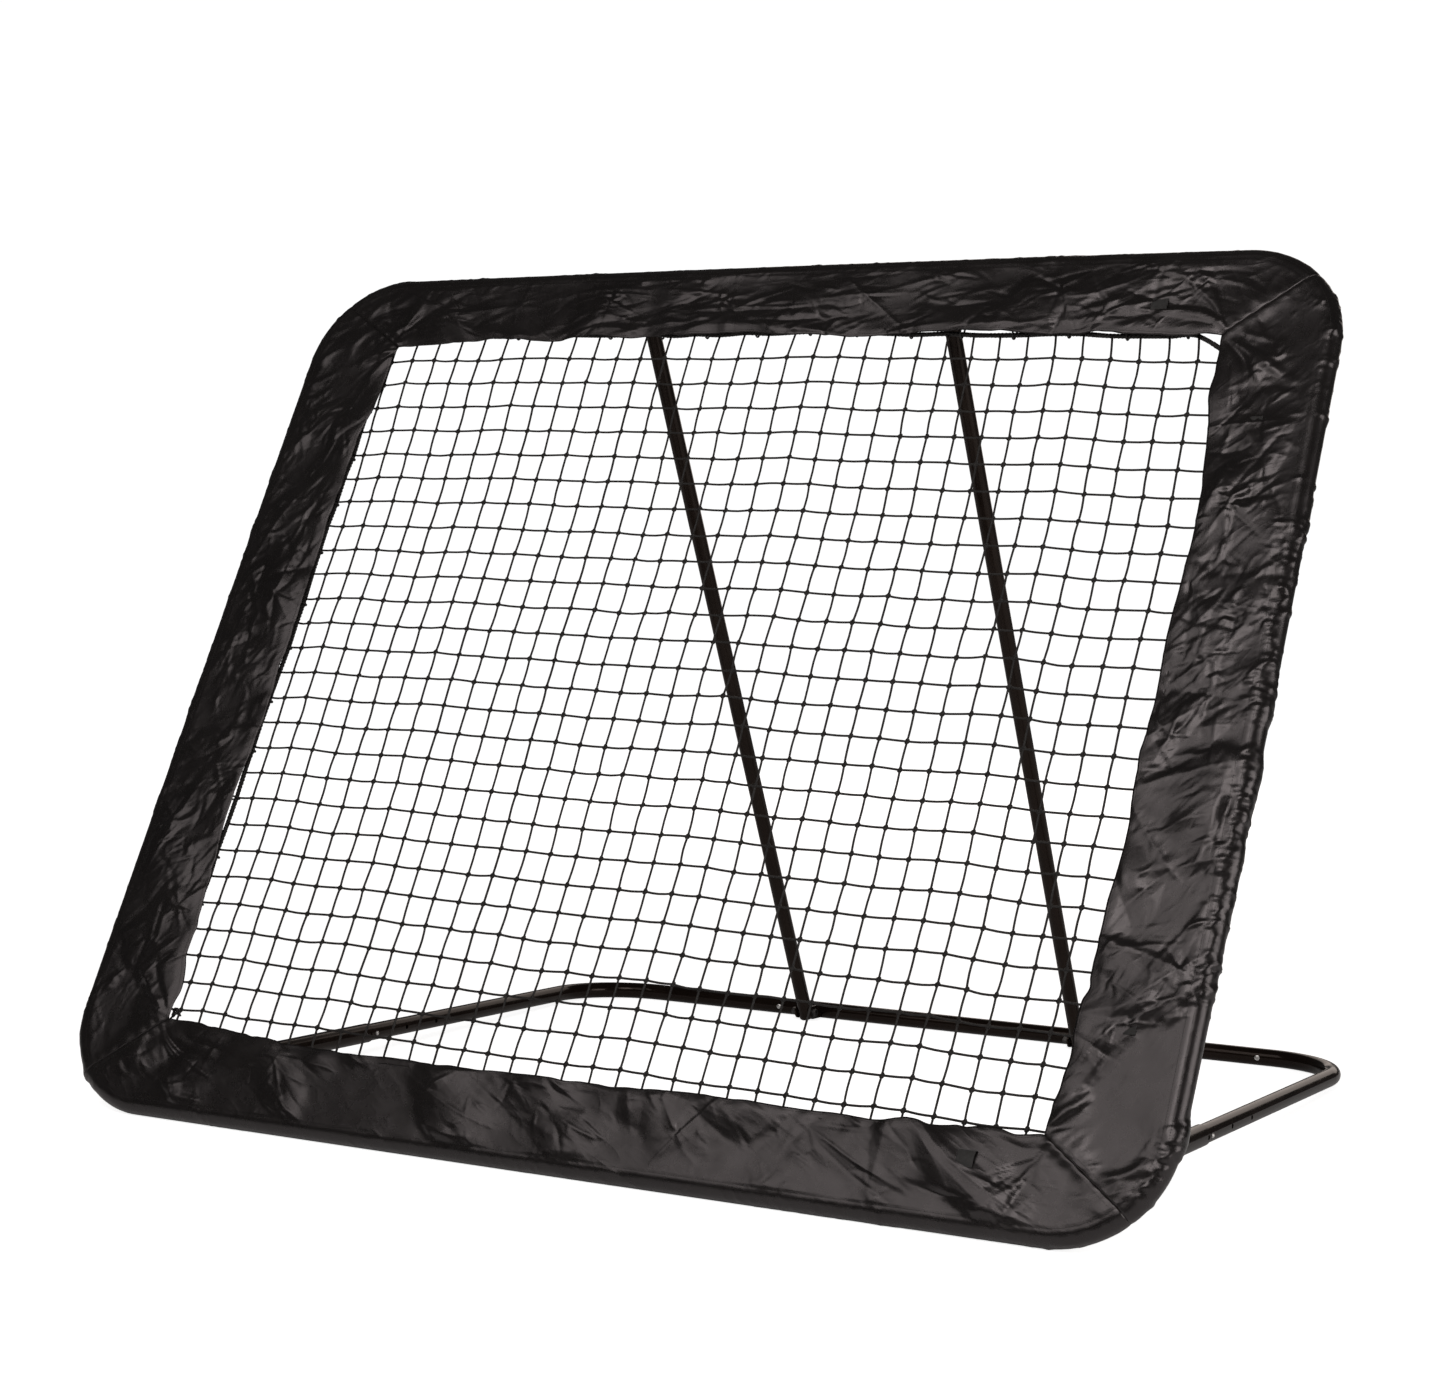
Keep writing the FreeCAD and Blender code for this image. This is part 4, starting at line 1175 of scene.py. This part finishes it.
def build_room():
    """The room is white to the camera and dim to everything else."""
    world = bpy.data.worlds.new("studio")
    bpy.context.scene.world = world
    world.use_nodes = True
    tree = world.node_tree
    room = tree.nodes["Background"]
    room.inputs["Color"].default_value = (1.0, 0.97, 0.95, 1)
    room.inputs["Strength"].default_value = 0.045
    white = tree.nodes.new("ShaderNodeBackground")
    white.inputs["Color"].default_value = (1, 1, 1, 1)
    white.inputs["Strength"].default_value = 1.05
    seen = tree.nodes.new("ShaderNodeLightPath")
    mix = tree.nodes.new("ShaderNodeMixShader")
    tree.links.new(seen.outputs["Is Camera Ray"], mix.inputs["Fac"])
    tree.links.new(room.outputs["Background"], mix.inputs[1])
    tree.links.new(white.outputs["Background"], mix.inputs[2])
    tree.links.new(mix.outputs["Shader"], tree.nodes["World Output"].inputs["Surface"])


def soft_box(name, at, towards, size, power, colour=(1.0, 0.95, 0.93), hidden=False):
    light = bpy.data.lights.new(name, "AREA")
    light.shape = "RECTANGLE"
    light.size, light.size_y = size
    light.energy = power
    light.color = colour
    made = bpy.data.objects.new(name, light)
    bpy.context.scene.collection.objects.link(made)
    made.location = at
    made.visible_camera = not hidden
    made.rotation_mode = "QUATERNION"
    made.rotation_quaternion = (Vector(towards) - Vector(at)).to_track_quat("-Z", "Y")


def build_lights():
    soft_box("key", (-1.0, -2.9, 2.8), (0.6, -0.1, 0.2), (2.1, 2.1), 24)
    soft_box("over", (0.95, -2.75, 2.85), (0.95, -0.15, 0.0), (1.7, 1.7), 41)
    soft_box("side", (4.05, -0.75, 1.4), (0.9, 0.0, 0.2), (2.2, 1.7), 42)
    soft_box("backdrop", (-0.6, 5.4, 2.2), (0, 0, 0.6), (4.6, 3.0), 45, (1.0, 0.88, 0.80), hidden=True)


def build_camera():
    """The photograph's view: from the right of the front, a little above the net's middle."""
    data = bpy.data.cameras.new("camera")
    data.lens = 70.45
    data.sensor_width = 36
    data.shift_x = 0.0002
    data.shift_y = 0.0056
    data.clip_end = 200
    azimuth, elevation, roll = math.radians(29.47), math.radians(3.78), 0.0112
    level = math.cos(elevation)
    back = Vector((math.sin(azimuth) * level, -math.cos(azimuth) * level, math.sin(elevation)))
    right = (-back).cross(Vector((0, 0, 1))).normalized()
    up = right.cross(-back)
    rolled_right = right * math.cos(roll) + up * math.sin(roll)
    rolled_up = up * math.cos(roll) - right * math.sin(roll)
    camera = bpy.data.objects.new("camera", data)
    bpy.context.scene.collection.objects.link(camera)
    camera.rotation_mode = "QUATERNION"
    turned = Matrix((rolled_right, rolled_up, back)).transposed()
    camera.rotation_quaternion = turned.to_quaternion()
    centre = (Vector(cad_box[0]) + Vector(cad_box[1])) / 2
    camera.location = centre + Vector((2.114, -3.920, 0.2617))
    bpy.context.scene.camera = camera


build_floor()
build_room()
build_lights()
build_camera()
bpy.context.scene.view_settings.view_transform = "Standard"
